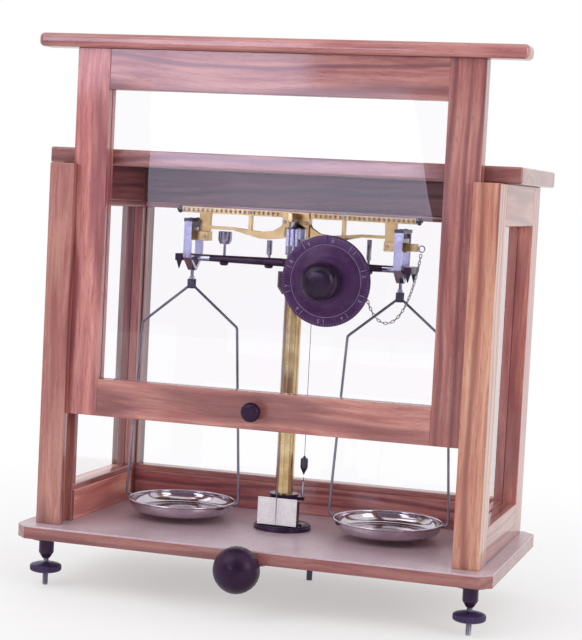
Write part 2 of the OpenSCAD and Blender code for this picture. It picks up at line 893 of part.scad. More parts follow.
// The frame that hangs from an end knife and passes round the arrest arm
module stirrup() {
    w = stirrup_w / 2;
    top = knife_z + 3;
    seat = knife_z + hair;
    low = knife_z - corner_drop;
    apex = knife_z - point_drop;
    translate([arm_len, beam_y, 0]) difference() {
        union() {
            box([-w, -leg_out - 0.2, seat], [w, leg_out + 0.2, top]);
            translate([-w + 0.5, 0, 0]) rotate([90, 0, 90]) linear_extrude(2 * w - 1)
                for (s = [0, 1]) mirror([s, 0])
                    polygon([[leg_in, seat], [leg_in, low], [0, apex + 2.5], [0, apex - 0.5],
                        [1.5, apex - 0.5], [leg_out, low - 1.2], [leg_out, seat]]);
            translate([0, 0, hook_z + 3]) cylinder(d = tongue_w, h = apex - hook_z - 2);
            box([-2, -tongue_w / 2, hook_z - 2.5], [2, tongue_w / 2, hook_z + 4]);
        }
        bar_y(bow_pin_d + 2 * run, 0, hook_z, -5, 5);
    }
}

module left_stirrup() {
    color("lightsteelblue") on_base() mirror([1, 0, 0]) stirrup();
}

module right_stirrup() {
    color("lightsteelblue") on_base() stirrup();
}

// A straight round wire from point a to point b
module wire_to(a, b) {
    v = b - a;
    translate(a) rotate([0, acos(v[2] / norm(v)), atan2(v[1], v[0])])
        cylinder(d = wire_d, h = norm(v));
}

// One side of a bow, from its block over the shoulder to the rim of the pan
module bow_side() {
    head = [2.4, 0, hook_z - 4.4];
    shoulder = [shoulder_r, 0, hook_z - shoulder_drop];
    foot = [foot_r, 0, pan_rim - 0.5];
    foot_d = wire_d + 0.8;
    wire_to(head, shoulder);
    translate(shoulder) sphere(d = wire_d + 0.12);
    wire_to(shoulder, foot);
    translate([foot_r, 0, pan_rim - 1 - foot_d / 2]) cylinder(d = foot_d, h = foot_d + 1);
    translate([0, 0, pan_rim - 1]) bar_x(wire_d - 0.4, wire_d - 0.4, pan_r + rim_roll + 0.03, foot_r, 0, 0);
}

// The fork with its pin and the two sides of the bow
module bow() {
    gap = tongue_w / 2 + 0.25;
    translate([arm_len, beam_y, 0]) {
        both_sides() bow_side();
        difference() {
            box([-4, -3.6, hook_z - 6.5], [4, 3.6, hook_z + 1.8]);
            box([-5, -gap, hook_z - 3.1], [5, gap, hook_z + 3]);
        }
        bar_y(bow_pin_d, 0, hook_z, -gap, gap);
    }
}

module left_bow() {
    color("silver") on_base() mirror([1, 0, 0]) bow();
}

module right_bow() {
    color("silver") on_base() bow();
}

// Outline of a pan from its middle outwards, as a circle's arc
function pan_arc(off) = [for (i = [0:8]) let (f = i / 8)
    [(pan_r - off) * (0.55 + 0.45 * f), off + pan_deep * (1 - cos(90 * f)) * (1 - off / pan_deep)]];

// A spun dish with a rolled rim
module pan() {
    inner = [for (i = [8:-1:0]) pan_arc(pan_t)[i]];
    translate([arm_len, beam_y, pan_rim - pan_deep]) rotate_extrude($fn = 96) {
        polygon(concat([[0, 0]], pan_arc(0), inner, [[0, pan_t]]));
        translate([pan_r - 0.1, pan_deep - rim_roll]) circle(r = rim_roll, $fn = 16);
    }
}

module left_pan() {
    color("silver") on_base() mirror([1, 0, 0]) pan();
}

module right_pan() {
    color("silver") on_base() pan();
}

// Moves children to the middle of the dial's face, with +Z towards the front
module on_dial() {
    translate([dial_x, dial_y, dial_mid]) rotate([90, 0, 0]) children();
}

// The black disc of the dial, dished inside its graduated band
module dial() {
    band = dial_r * 0.2;
    rise = 5;
    color("black") on_base() on_dial() difference() {
        rotate_extrude($fn = 96)
            polygon([[0, -dial_t], [dial_r, -dial_t], [dial_r, -0.8], [dial_r - 0.8, 0],
                [dial_r - band, 0], [dial_r - band - 0.6, -0.8], [dial_r - band - 1.2, 0],
                [dial_knob_d / 2 + 2, rise], [0, rise]]);
        translate([0, 0, -dial_t - 1]) cylinder(d = dial_shaft_d, h = rise + dial_t + 2);
    }
}

module dial_knob() {
    r = dial_knob_d / 2;
    e = r * 0.45;
    seat = 5;
    color("black") on_base() on_dial() translate([0, 0, seat]) difference() {
        rotate_extrude($fn = 96) difference() {
            union() {
                square([r, dial_knob_l - seat - e]);
                square([r - e, dial_knob_l - seat]);
                translate([r - e, dial_knob_l - seat - e]) circle(r = e);
            }
            translate([-2 * r, -r]) square([2 * r, 4 * r]);
        }
        translate([0, 0, -1]) cylinder(d = dial_shaft_d, h = 9);
    }
}

// The drum that winds the chain, on the shaft that the dial turns
module dial_drum() {
    f = 1.5;
    front = drum_y - drum_w / 2;
    color("goldenrod") on_base() {
        bar_y(dial_shaft_d, dial_x, dial_mid, dial_y - 12, boss_y1 + 2);
        difference() {
            union() {
                bar_y(2 * drum_r, dial_x, dial_mid, front, front + f);
                bar_y(2 * groove_r, dial_x, dial_mid, front, front + drum_w);
                bar_y(2 * drum_r, dial_x, dial_mid, front + drum_w - f, front + drum_w);
            }
            for (a = [0:60:300]) translate([dial_x, 0, dial_mid]) rotate([0, a, 0])
                bar_y(groove_r * 0.5, groove_r * 0.62, 0, front - 1, front + drum_w + 1);
        }
        bar_y(2 * dial_shaft_d, dial_x, dial_mid, front + drum_w, boss_y0 - 0.4);
    }
}

// The black casting on the column that carries the dial and the plumb line
module dial_bracket() {
    boss_d = 2 * dial_shaft_d;
    lug_z1 = hub_z0 + 6;
    color("black") on_base() difference() {
        union() {
            translate([0, beam_y, hub_z0 + 6]) cylinder(r = hub_r, h = hub_z1 - hub_z0 - 6);
            translate([0, beam_y, hub_z0]) cylinder(r1 = hub_r * 0.72, r2 = hub_r, h = 6);
            box([hub_r * 0.6, boss_y0 + 1.5, dial_mid - 7], [dial_x, boss_y1 - 0.5, dial_mid + 3]);
            bar_y(boss_d, dial_x, dial_mid, boss_y0, boss_y1);
            box([hub_r * 0.6, beam_y - 2.5, lug_z1 - 4], [plumb_x + 2.5, beam_y + 2.5, lug_z1]);
        }
        translate([0, beam_y, 0]) cylinder(d = column_d, h = column_h);
        bar_y(dial_shaft_d + 2 * run, dial_x, dial_mid, boss_y0 - 1, boss_y1 + 1);
    }
}

// Hyperbolic sine and its inverse, for the curve of a hanging chain
function sinh(x) = (exp(x) - exp(-x)) / 2;
function cosh(x) = (exp(x) + exp(-x)) / 2;
function asinh(x) = ln(x + sqrt(x * x + 1));

// The chain hangs from the edge of the drum to the hook on the beam
chain_x0 = dial_x + wrap_r;
chain_rise = chain_top_z - dial_mid;
chain_span = chain_top_x - chain_x0;
chain_low_x = chain_x0 + chain_span / 2
    - chain_bend * asinh(chain_rise / (2 * chain_bend * sinh(chain_span / (2 * chain_bend))));
chain_low_z = dial_mid - chain_bend * (cosh((chain_x0 - chain_low_x) / chain_bend) - 1);
chain_s0 = chain_bend * sinh((chain_x0 - chain_low_x) / chain_bend);
chain_s1 = chain_bend * sinh((chain_top_x - chain_low_x) / chain_bend);
hang_n = round((chain_s1 - chain_s0) / link_pitch);
wrap_n = floor(wrap_r * PI * 0.55 / link_pitch);

// A point of the chain at length s from the drum's edge, negative on the drum
function chain_at(s) = s < 0
    ? let (a = -s / wrap_r * 180 / PI) [dial_x + wrap_r * cos(a), drum_y, dial_mid + wrap_r * sin(a)]
    : let (q = (chain_s0 + s) / chain_bend, f = s / (chain_s1 - chain_s0))
        [chain_low_x + chain_bend * asinh(q), drum_y + (beam_y - drum_y) * f * f * (3 - 2 * f),
            chain_low_z + chain_bend * (sqrt(1 + q * q) - 1)];

// One flat link along Z
module link() {
    half = link_in / 2 + link_wire - link_w / 2;
    rotate([90, 0, 0]) translate([0, 0, -link_wire / 2]) linear_extrude(link_wire) difference() {
        union() {
            square([link_w, 2 * half], center = true);
            for (s = [-1, 1]) translate([0, s * half]) circle(d = link_w, $fn = 16);
        }
        square([link_w - 2 * link_wire, 2 * half], center = true);
        for (s = [-1, 1]) translate([0, s * half]) circle(d = link_w - 2 * link_wire, $fn = 16);
    }
}

// The chain, each link turned a quarter against the last
module chain() {
    step = (chain_s1 - chain_s0) / hang_n;
    color("silver") on_base() for (i = [-wrap_n:hang_n - 1]) {
        a = chain_at(i * step);
        b = chain_at((i + 1) * step);
        v = b - a;
        translate((a + b) / 2) rotate([0, acos(v[2] / norm(v)), atan2(v[1], v[0])])
            rotate([0, 0, 90 * (i % 2)]) link();
    }
}

// The plumb bob on its thin line
module plumb_bob() {
    top = hub_z0 + 2 - hair;
    color("goldenrod") on_base() translate([plumb_x, beam_y, 0]) {
        translate([0, 0, bob_top - 1]) cylinder(d = 0.5, h = top - bob_top + 1, $fn = 16);
        translate([0, 0, bob_top - bob_l * 0.62]) cylinder(d = bob_d, h = bob_l * 0.62);
        translate([0, 0, bob_top - bob_l]) cylinder(d1 = 0.4, d2 = bob_d, h = bob_l * 0.38);
    }
}

base_board();
base_facing();
front_left_post();
front_right_post();
rear_left_post();
rear_right_post();
left_bottom_rail();
right_bottom_rail();
back_bottom_rail();
left_top_rail();
right_top_rail();
back_top_rail();
top_board();
left_pane();
right_pane();
back_pane();
glazing_beads();
sash_left_stile();
sash_right_stile();
sash_bottom_rail();
sash_top_rail();
sash_cap();
sash_pane();
sash_knob();
foot_sockets();
left_foot_screw();
right_foot_screw();
left_foot_wheel();
right_foot_wheel();
rear_foot();
arrest_knob();
arrest_shaft();
shaft_brackets();
fixing_screws();
lifting_rod();
arrest_arm();
arrest_pillars();
column();
column_collar();
column_flange();
scale_plate();
column_head();
knife_planes();
beam();
knife_edges();
poising_nuts();
pointer();
chain_hook();
left_stirrup();
right_stirrup();
left_bow();
right_bow();
left_pan();
right_pan();
dial();
dial_knob();
dial_drum();
dial_bracket();
chain();
plumb_bob();
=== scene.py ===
"""Looks of a two pan analytical balance in a glazed wooden case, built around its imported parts."""

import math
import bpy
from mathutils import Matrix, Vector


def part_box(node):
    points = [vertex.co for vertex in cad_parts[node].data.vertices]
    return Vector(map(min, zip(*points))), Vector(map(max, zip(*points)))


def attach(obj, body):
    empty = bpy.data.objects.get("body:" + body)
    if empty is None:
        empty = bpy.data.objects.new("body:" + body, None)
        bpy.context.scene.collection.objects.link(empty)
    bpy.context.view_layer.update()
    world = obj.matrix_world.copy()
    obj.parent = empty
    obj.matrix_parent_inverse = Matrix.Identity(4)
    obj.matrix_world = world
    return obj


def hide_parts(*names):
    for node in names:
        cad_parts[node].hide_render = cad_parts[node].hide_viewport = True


bl_info = {
    "name": "Two Pan Balance",
    "version": (1, 0, 0),
    "blender": (4, 5, 0),
    "location": "View3D > Sidebar > Balance",
    "description": "Builds the timber, glass, brass and nickel of a cased analytical balance",
    "category": "Add Mesh",
}

import bmesh
import bpy
from bpy.props import FloatProperty, FloatVectorProperty, IntProperty, PointerProperty
from mathutils import Euler, Matrix, Vector

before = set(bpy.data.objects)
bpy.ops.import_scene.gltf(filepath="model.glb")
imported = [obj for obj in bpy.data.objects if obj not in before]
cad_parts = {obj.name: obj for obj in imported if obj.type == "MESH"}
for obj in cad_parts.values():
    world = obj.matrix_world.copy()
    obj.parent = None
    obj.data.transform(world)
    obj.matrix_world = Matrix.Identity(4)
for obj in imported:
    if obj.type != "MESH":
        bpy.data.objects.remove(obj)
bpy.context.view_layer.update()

MM = 0.001
FACING_LOW, FACING_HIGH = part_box("base_facing")
FRONT_Y, TOP_Z = FACING_LOW.y, FACING_HIGH.z
WELD = 2e-6
QUARTER = math.pi / 2
TURNS = {
    "Z": (0, 0, 0),
    "-Z": (math.pi, 0, 0),
    "Y": (-QUARTER, 0, 0),
    "-Y": (QUARTER, 0, 0),
    "X": (0, QUARTER, 0),
    "-X": (0, -QUARTER, 0),
}


def at(x, y, z):
    """A point from millimetres right of the middle, behind the base's front edge and above its top."""
    return Vector((x * MM, FRONT_Y + y * MM, TOP_Z + z * MM))


def tone(code):
    """A hex colour as the linear colour that Blender works in, with alpha."""
    parts = [int(code[i:i + 2], 16) / 255 for i in (0, 2, 4)]
    return tuple(p / 12.92 if p <= 0.04045 else ((p + 0.055) / 1.055) ** 2.4 for p in parts) + (1.0,)


# Materials


class Tree:
    """A node tree and short ways to add nodes and join them."""

    def __init__(self, tree):
        self.tree = tree

    def add(self, kind, props=None, **feeds):
        """Adds a node; a feed named i0, i1 goes to that socket, any other to the socket of that name."""
        node = self.tree.nodes.new("ShaderNode" + kind)
        for key, value in (props or {}).items():
            setattr(node, key, value)
        for key, value in feeds.items():
            numbered = key[0] == "i" and key[1:].isdigit()
            socket = node.inputs[int(key[1:]) if numbered else key.replace("_", " ")]
            if isinstance(value, bpy.types.NodeSocket):
                self.tree.links.new(value, socket)
            else:
                socket.default_value = value
        return node

    def math(self, what, a, b=0.0, clamp=False):
        return self.add("Math", {"operation": what, "use_clamp": clamp}, i0=a, i1=b).outputs[0]

    def blend(self, share, a, b, how="MIX"):
        node = self.add("Mix", {"data_type": "RGBA", "blend_type": how}, i0=share, i6=a, i7=b)
        return node.outputs[2]

    def ramp(self, value, stops):
        """A grey ramp through (place, grey) stops."""
        node = self.add("ValToRGB", Fac=value)
        points = node.color_ramp.elements
        while len(points) < len(stops):
            points.new(1.0)
        for point, (place, grey) in zip(points, stops):
            point.position = place
            point.color = (grey, grey, grey, 1.0)
        return node.outputs[0]

    def noise(self, vector, scale, detail=2.0, rough=0.5):
        return self.add("TexNoise", Vector=vector, Scale=scale, Detail=detail, Roughness=rough)


def shader_group(name, inputs, outputs, build):
    """A shader node group with named inputs and outputs, built once."""
    made = bpy.data.node_groups.get(name)
    if made:
        return made
    made = bpy.data.node_groups.new(name, "ShaderNodeTree")
    for label, kind, value in inputs:
        socket = made.interface.new_socket(name=label, in_out="INPUT", socket_type="NodeSocket" + kind)
        if value is not None:
            socket.default_value = value
    for label, kind in outputs:
        made.interface.new_socket(name=label, in_out="OUTPUT", socket_type="NodeSocket" + kind)
    feed = made.nodes.new("NodeGroupInput")
    result = made.nodes.new("NodeGroupOutput")
    for label, value in build(Tree(made), feed.outputs).items():
        made.links.new(value, result.inputs[label])
    return made


SURFACE = [("Color", "Color"), ("Roughness", "Float"), ("Height", "Float")]


def teak_figure():
    """Grain, growth rings and pores of teak. The grain runs along X of the vector it is given, in metres."""

    def build(t, given):
        def drawn_out(share):
            return t.add("VectorMath", {"operation": "MULTIPLY"}, i0=given["Vector"], i1=(share, 1, 1)).outputs[0]

        long, middling = drawn_out(0.05), drawn_out(0.35)
        warp = t.noise(middling, 10.0, 2.0)
        shift = t.add("VectorMath", {"operation": "MULTIPLY_ADD"}, i0=warp.outputs["Color"],
                      i1=(0.0, 0.03, 0.03), i2=long).outputs[0]
        rings = t.add("TexWave", {"wave_type": "RINGS", "rings_direction": "X"}, Vector=shift, Scale=30.0,
                      Distortion=3.0, Detail=3.0, Detail_Scale=1.6, Detail_Roughness=0.6)
        streak = t.noise(shift, 230.0, 5.0, 0.7).outputs["Fac"]
        blotch = t.noise(middling, 26.0, 2.0).outputs["Fac"]
        pores = t.noise(drawn_out(0.08), 1500.0, 2.0, 0.6).outputs["Fac"]
        lines = t.ramp(rings.outputs["Fac"], [(0.0, 1.0), (0.28, 0.35), (0.6, 0.0), (1.0, 0.25)])
        dark = t.math("MULTIPLY", lines, given["Figure"], True)
        light = t.ramp(t.math("ADD", t.math("MULTIPLY", streak, 0.75), t.math("MULTIPLY", blotch, 0.45)),
                       [(0.5, 0.0), (0.71, 1.0)])
        body = t.blend(light, given["Mid"], given["Light"])
        veined = t.blend(t.math("MULTIPLY", dark, 0.8), body, given["Dark"])
        pit = t.ramp(pores, [(0.3, 1.0), (0.42, 0.0)])
        color = t.blend(t.math("MULTIPLY", pit, 0.5), veined, given["Dark"])
        rough = t.math("ADD", t.math("MULTIPLY", streak, 0.22), 0.26)
        height = t.math("SUBTRACT", t.math("MULTIPLY", streak, 0.35), pit)
        return {"Color": color, "Roughness": rough, "Height": height}

    return shader_group("Teak figure", [("Vector", "Vector", None), ("Dark", "Color", tone("70343E")),
                        ("Mid", "Color", tone("AA5D60")), ("Light", "Color", tone("CC8A84")),
                        ("Figure", "Float", 1.0)], SURFACE, build)


def drawn_metal():
    """Fine polishing lines and a slow change of tint. Lines run along X of the vector it is given."""

    def build(t, given):
        lines = t.noise(given["Lines"], 1300.0, 2.0, 0.6).outputs["Fac"]
        cloud = t.noise(given["Vector"], 34.0, 4.0, 0.6).outputs["Fac"]
        spots = t.ramp(t.noise(given["Vector"], 420.0, 2.0).outputs["Fac"], [(0.66, 0.0), (0.76, 1.0)])
        worn = t.blend(t.ramp(cloud, [(0.35, 0.0), (0.68, 1.0)]), given["Colour"], given["Aged"])
        color = t.blend(t.math("MULTIPLY", spots, given["Spotting"]), worn, given["Aged"])
        rough = t.math("ADD", given["Polish"], t.math("MULTIPLY", t.math("ADD", cloud, lines), 0.07))
        return {"Color": color, "Roughness": rough, "Height": lines}

    return shader_group("Drawn metal", [("Vector", "Vector", None), ("Lines", "Vector", None),
                        ("Colour", "Color", tone("C8A050")), ("Aged", "Color", tone("9A7038")),
                        ("Polish", "Float", 0.2), ("Spotting", "Float", 0.3)], SURFACE, build)


def stoved_enamel():
    """Black stoved enamel or moulded knob: a faint orange peel, cloudy gloss and dust in soft clouds."""

    def build(t, given):
        peel = t.noise(given["Vector"], 700.0, 2.0, 0.5).outputs["Fac"]
        cloud = t.noise(given["Vector"], 60.0, 3.0, 0.6).outputs["Fac"]
        color = t.blend(t.ramp(cloud, [(0.4, 0.0), (0.75, 1.0)]), given["Colour"], given["Bloom"])
        rough = t.math("ADD", given["Gloss"], t.math("MULTIPLY", cloud, 0.16))
        return {"Color": color, "Roughness": rough, "Height": peel}

    return shader_group("Stoved enamel", [("Vector", "Vector", None), ("Colour", "Color", tone("1C1320")),
                        ("Bloom", "Color", tone("3C2C42")), ("Gloss", "Float", 0.2)], SURFACE, build)


def laid_facing():
    """The pale mottled facing of the base, rubbed a little darker in patches."""

    def build(t, given):
        fleck = t.noise(given["Vector"], 380.0, 3.0, 0.7).outputs["Fac"]
        patch = t.noise(given["Vector"], 16.0, 3.0, 0.6).outputs["Fac"]
        base = t.blend(t.ramp(patch, [(0.3, 0.0), (0.7, 1.0)]), given["Pale"], given["Rubbed"])
        color = t.blend(t.ramp(fleck, [(0.5, 0.0), (0.72, 0.6)]), base, given["Fleck"])
        rough = t.math("ADD", t.math("MULTIPLY", fleck, 0.15), 0.3)
        return {"Color": color, "Roughness": rough, "Height": fleck}

    return shader_group("Laid facing", [("Vector", "Vector", None), ("Pale", "Color", tone("CBB4C0")),
                        ("Rubbed", "Color", tone("BCA2AC")), ("Fleck", "Color", tone("A0848C"))], SURFACE, build)


def new_material(name):
    """An empty material with its output, and its tree."""
    made = bpy.data.materials.new(name)
    made.use_nodes = True
    made.node_tree.nodes.clear()
    t = Tree(made.node_tree)
    return made, t, t.add("OutputMaterial")


def surfaced(t, group, bump, values, sockets, **feeds):
    """A Principled shader fed by a group's colour, roughness and height, with plain numbers on its own sockets."""
    node = t.tree.nodes.new("ShaderNodeGroup")
    node.node_tree = group
    for label, value in {**values, **feeds}.items():
        if isinstance(value, bpy.types.NodeSocket):
            t.tree.links.new(value, node.inputs[label])
        else:
            node.inputs[label].default_value = value
    relief = t.add("Bump", Height=node.outputs["Height"], Strength=bump[0], Distance=bump[1])
    shader = t.add("BsdfPrincipled", Base_Color=node.outputs["Color"], Roughness=node.outputs["Roughness"],
                   Normal=relief.outputs[0])
    for label, value in sockets.items():
        shader.inputs[label].default_value = value
    return shader.outputs[0]


def along(t, run, stretch=1.0, centre=Vector(), offset=Vector()):
    """Object coordinates about a centre, turned so that the piece's run lies along X and drawn out by stretch."""
    place = t.add("TexCoord").outputs["Object"]
    scale = {"X": (stretch, 1, 1), "Y": (1, stretch, 1), "Z": (1, 1, stretch)}[run]
    turn = {"X": Euler((0, 0, 0)), "Y": Euler((0, 0, -QUARTER)), "Z": Euler((0, QUARTER, 0))}[run]
    return t.add("Mapping", Vector=place, Scale=scale, Rotation=turn,
                 Location=offset - turn.to_matrix() @ centre).outputs[0]


def teak(node, run, seed, figure=1.0, warm=0.0, painted_light_and_shade=1.0, glare=1.5):
    """Varnished teak for one piece of timber, its grain along run and its pith beside the piece; one number per piece
    scales its colours, as painted light above one and painted shading below one.
    """
    look = bpy.context.scene.balance_timber
    material, t, out = new_material("teak " + node)
    low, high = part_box(node)
    pith = Vector((seed * 0.73, 0.016 + 0.009 * (seed % 4), 0.03 - 0.021 * (seed % 3)))
    # The timber's colours times the piece's number: painted light above one, painted shading below one.
    hues_and_painted_light = [tuple(min((a + (b - a) * warm) * painted_light_and_shade, 1.0) for a, b in zip(c, w)) for c, w in
            zip((look.dark, look.mid, look.light), (tone("8A4A40"), tone("BC7A64"), tone("DDA98C")))]
    shader = surfaced(t, teak_figure(), (0.22, 0.0004),
                      {"Dark": hues_and_painted_light[0], "Mid": hues_and_painted_light[1], "Light": hues_and_painted_light[2], "Figure": figure},
                      {"Coat Weight": look.varnish, "Coat Roughness": 0.08, "Coat IOR": glare,
                       "Specular IOR Level": 0.4},
                      Vector=along(t, run, 1.0, (low + high) / 2, pith))
    t.tree.links.new(shader, out.inputs[0])
    return material


def metal(name, colour, aged, polish, run="Z", spotting=0.25, bump=0.05):
    """A polished metal, its polishing lines along run."""
    made = bpy.data.materials.get(name)
    if made:
        return made
    made, t, out = new_material(name)
    shader = surfaced(t, drawn_metal(), (bump, 0.0002),
                      {"Colour": colour, "Aged": aged, "Polish": polish, "Spotting": spotting},
                      {"Metallic": 1.0},
                      Vector=t.add("TexCoord").outputs["Object"], Lines=along(t, run, 0.03))
    t.tree.links.new(shader, out.inputs[0])
    return made


def brass(run="Z"):
    look = bpy.context.scene.balance_metals
    return metal("gilt brass " + run, tuple(look.brass) + (1,), tone("BC9862"), 0.18, run)


def nickel(run="Z"):
    look = bpy.context.scene.balance_metals
    return metal("nickel " + run, tuple(look.nickel) + (1,), tone("938EA6"), 0.12, run)


def grey_nickel(run="Z"):
    return metal("worn nickel " + run, tone("9C99A8"), tone("77738A"), 0.3, run)


def steel(run="Z"):
    return metal("steel " + run, tone("CFCDD6"), tone("9C99A6"), 0.36, run)


def dark_steel(run="Z"):
    return metal("dark steel " + run, tone("625E6C"), tone("403B49"), 0.3, run)


def enamel(name="black enamel", gloss=0.2, coat=0.2, hue=None, bloom=tone("3C2C42")):
    made = bpy.data.materials.get(name)
    if made:
        return made
    look = bpy.context.scene.balance_metals
    made, t, out = new_material(name)
    shader = surfaced(t, stoved_enamel(), (0.012, 0.0001),
                      {"Colour": hue or tuple(look.enamel) + (1,), "Bloom": bloom, "Gloss": gloss},
                      {"Coat Weight": coat, "Coat Roughness": 0.08, "Specular IOR Level": 0.22,
                       "Specular Tint": (0.9, 0.62, 1.0, 1.0)},
                      Vector=t.add("TexCoord").outputs["Object"])
    t.tree.links.new(shader, out.inputs[0])
    return made


def moulded():
    return enamel("moulded knob", 0.3, 0.08, tone("231226"), tone("34203A"))


def facing():
    made, t, out = new_material("pale facing")
    shader = surfaced(t, laid_facing(), (0.03, 0.0002), {}, {"Coat Weight": 0.3, "Coat Roughness": 0.16},
                      Vector=t.add("TexCoord").outputs["Object"])
    t.tree.links.new(shader, out.inputs[0])
    return made


def pane_glass(name, seed):
    """Window glass with the faint waves and smears of an old pane; lets the lamps through."""
    look = bpy.context.scene.balance_glass
    made, t, out = new_material("pane glass " + name)
    place = t.add("Mapping", Vector=t.add("TexCoord").outputs["Object"], Location=(seed, seed * 0.7, 0)).outputs[0]
    smear = t.noise(place, 18.0, 4.0, 0.65).outputs["Fac"]
    wave = t.noise(place, 9.0, 1.0).outputs["Fac"]
    relief = t.add("Bump", Height=wave, Strength=0.06, Distance=0.002)
    body = t.add("BsdfPrincipled", Base_Color=tuple(look.tint) + (1,), Normal=relief.outputs[0],
                 Roughness=t.ramp(smear, [(0.45, 0.0), (0.8, 0.05)]), IOR=look.ior, Transmission_Weight=1.0)
    clear = t.add("BsdfTransparent", Color=(0.97, 0.97, 0.98, 1))
    rays = t.add("LightPath").outputs
    mirrored = t.math("SUBTRACT", rays["Is Glossy Ray"], rays["Is Transmission Ray"], True)
    passed = t.math("MAXIMUM", rays["Is Shadow Ray"], t.math("MAXIMUM", rays["Is Diffuse Ray"], mirrored))
    way_out = t.add("BsdfRefraction", IOR=look.ior, Roughness=0.0, Color=tuple(look.tint) + (1,))
    leaving = t.add("NewGeometry").outputs["Backfacing"]
    glass = t.add("MixShader", i0=leaving, i1=body.outputs[0], i2=way_out.outputs[0])
    mixed = t.add("MixShader", i0=passed, i1=glass.outputs[0], i2=clear.outputs[0])
    t.tree.links.new(mixed.outputs[0], out.inputs[0])
    return made


def paint(name, low, high, rough=0.35):
    """A thin paint or filling with a faint mottle between two colours."""
    made = bpy.data.materials.get(name)
    if made:
        return made
    made, t, out = new_material(name)
    mottle = t.noise(t.add("TexCoord").outputs["Object"], 300.0, 3.0).outputs["Fac"]
    color = t.blend(t.ramp(mottle, [(0.35, 0.0), (0.7, 1.0)]), low, high)
    shader = t.add("BsdfPrincipled", Base_Color=color,
                   Roughness=t.math("ADD", t.math("MULTIPLY", mottle, 0.2), rough))
    t.tree.links.new(shader.outputs[0], out.inputs[0])
    return made


# Modelling


def only(piece):
    """Leaves one piece selected and active, out of edit mode."""
    if bpy.context.object and bpy.context.object.mode != "OBJECT":
        bpy.ops.object.mode_set(mode="OBJECT")
    bpy.ops.object.select_all(action="DESELECT")
    if piece:
        piece.select_set(True)
        bpy.context.view_layer.objects.active = piece


def named(name):
    piece = bpy.context.object
    piece.name = piece.data.name = name
    return piece


def settle(piece):
    """Puts a piece's place, turn and size into its mesh."""
    only(piece)
    bpy.ops.object.transform_apply(location=True, rotation=True, scale=True)


def edit(piece, mode="VERT"):
    """Opens a piece in edit mode with nothing selected."""
    only(piece)
    bpy.ops.object.mode_set(mode="EDIT")
    bpy.ops.mesh.select_mode(type=mode)
    bpy.ops.mesh.select_all(action="DESELECT")


def pick(piece, test, kind="faces"):
    """Selects the elements of an open mesh for which test is true; true if there were any."""
    mesh = bmesh.from_edit_mesh(piece.data)
    found = [e for e in getattr(mesh, kind) if test(e)]
    for e in found:
        e.select_set(True)
    mesh.select_flush_mode()
    bmesh.update_edit_mesh(piece.data)
    return bool(found)


def tidy(piece, recalculate=True):
    """Merges doubles and turns the faces outwards."""
    edit(piece)
    bpy.ops.mesh.select_all(action="SELECT")
    bpy.ops.mesh.remove_doubles(threshold=WELD)
    if recalculate:
        bpy.ops.mesh.normals_make_consistent(inside=False)
    bpy.ops.object.mode_set(mode="OBJECT")


def block(name, low, high):
    """A box from its lowest corner to its highest, in the row frame."""
    only(None)
    bpy.ops.mesh.primitive_cube_add(size=1.0, location=(low + high) / 2, scale=tuple(high - low))
    piece = named(name)
    settle(piece)
    return piece


def soften(piece, edge, segments=2, angle=30.0):
    """Rounds the sharp edges of a piece."""
    only(piece)
    bevel = piece.modifiers.new("edges", "BEVEL")
    bevel.width = edge * MM
    bevel.segments = segments
    bevel.limit_method = "ANGLE"
    bevel.angle_limit = math.radians(angle)
    bpy.ops.object.modifier_apply(modifier=bevel.name)


def worked(node, name, edge=0.0, segments=2, flat=1.0):
    """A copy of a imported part, merged, its flat faces joined and its edges rounded."""
    piece = bpy.data.objects.new(name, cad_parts[node].data.copy())
    piece.data.name = name
    bpy.context.scene.collection.objects.link(piece)
    edit(piece)
    bpy.ops.mesh.select_all(action="SELECT")
    bpy.ops.mesh.remove_doubles(threshold=WELD)
    bpy.ops.mesh.dissolve_limited(angle_limit=math.radians(flat))
    bpy.ops.object.mode_set(mode="OBJECT")
    if edge:
        soften(piece, edge, segments)
    return piece


def turned(name, profile, foot, axis="Z", steps=64, edge=0.0):
    """Spins a profile of (radius, height) points in mm about its axis, standing on foot."""
    only(None)
    bpy.ops.mesh.primitive_plane_add(size=MM)
    piece = named(name)
    edit(piece)
    bpy.ops.mesh.select_all(action="SELECT")
    bpy.ops.mesh.merge(type="CENTER")
    radius, height = 0.0, 0.0
    for number, (r, h) in enumerate(profile):
        step = ((r - radius) * MM, 0, (h - height) * MM)
        if number:
            bpy.ops.mesh.extrude_vertices_move(TRANSFORM_OT_translate={"value": step})
        else:
            bpy.ops.transform.translate(value=step)
        radius, height = r, h
    bpy.ops.mesh.select_all(action="SELECT")
    bpy.ops.mesh.spin(steps=steps, angle=math.tau, center=(0, 0, 0), axis=(0, 0, 1))
    bpy.ops.object.mode_set(mode="OBJECT")
    tidy(piece)
    piece.rotation_euler = TURNS[axis]
    piece.location = foot
    settle(piece)
    if edge:
        soften(piece, edge)
    return piece


def arc(cx, cz, r, start, end, steps=8):
    """Profile points on a circle, angles in degrees from +radius towards +height."""
    points = []
    for i in range(steps + 1):
        a = math.radians(start + (end - start) * i / steps)
        points.append((cx + r * math.cos(a), cz + r * math.sin(a)))
    return points


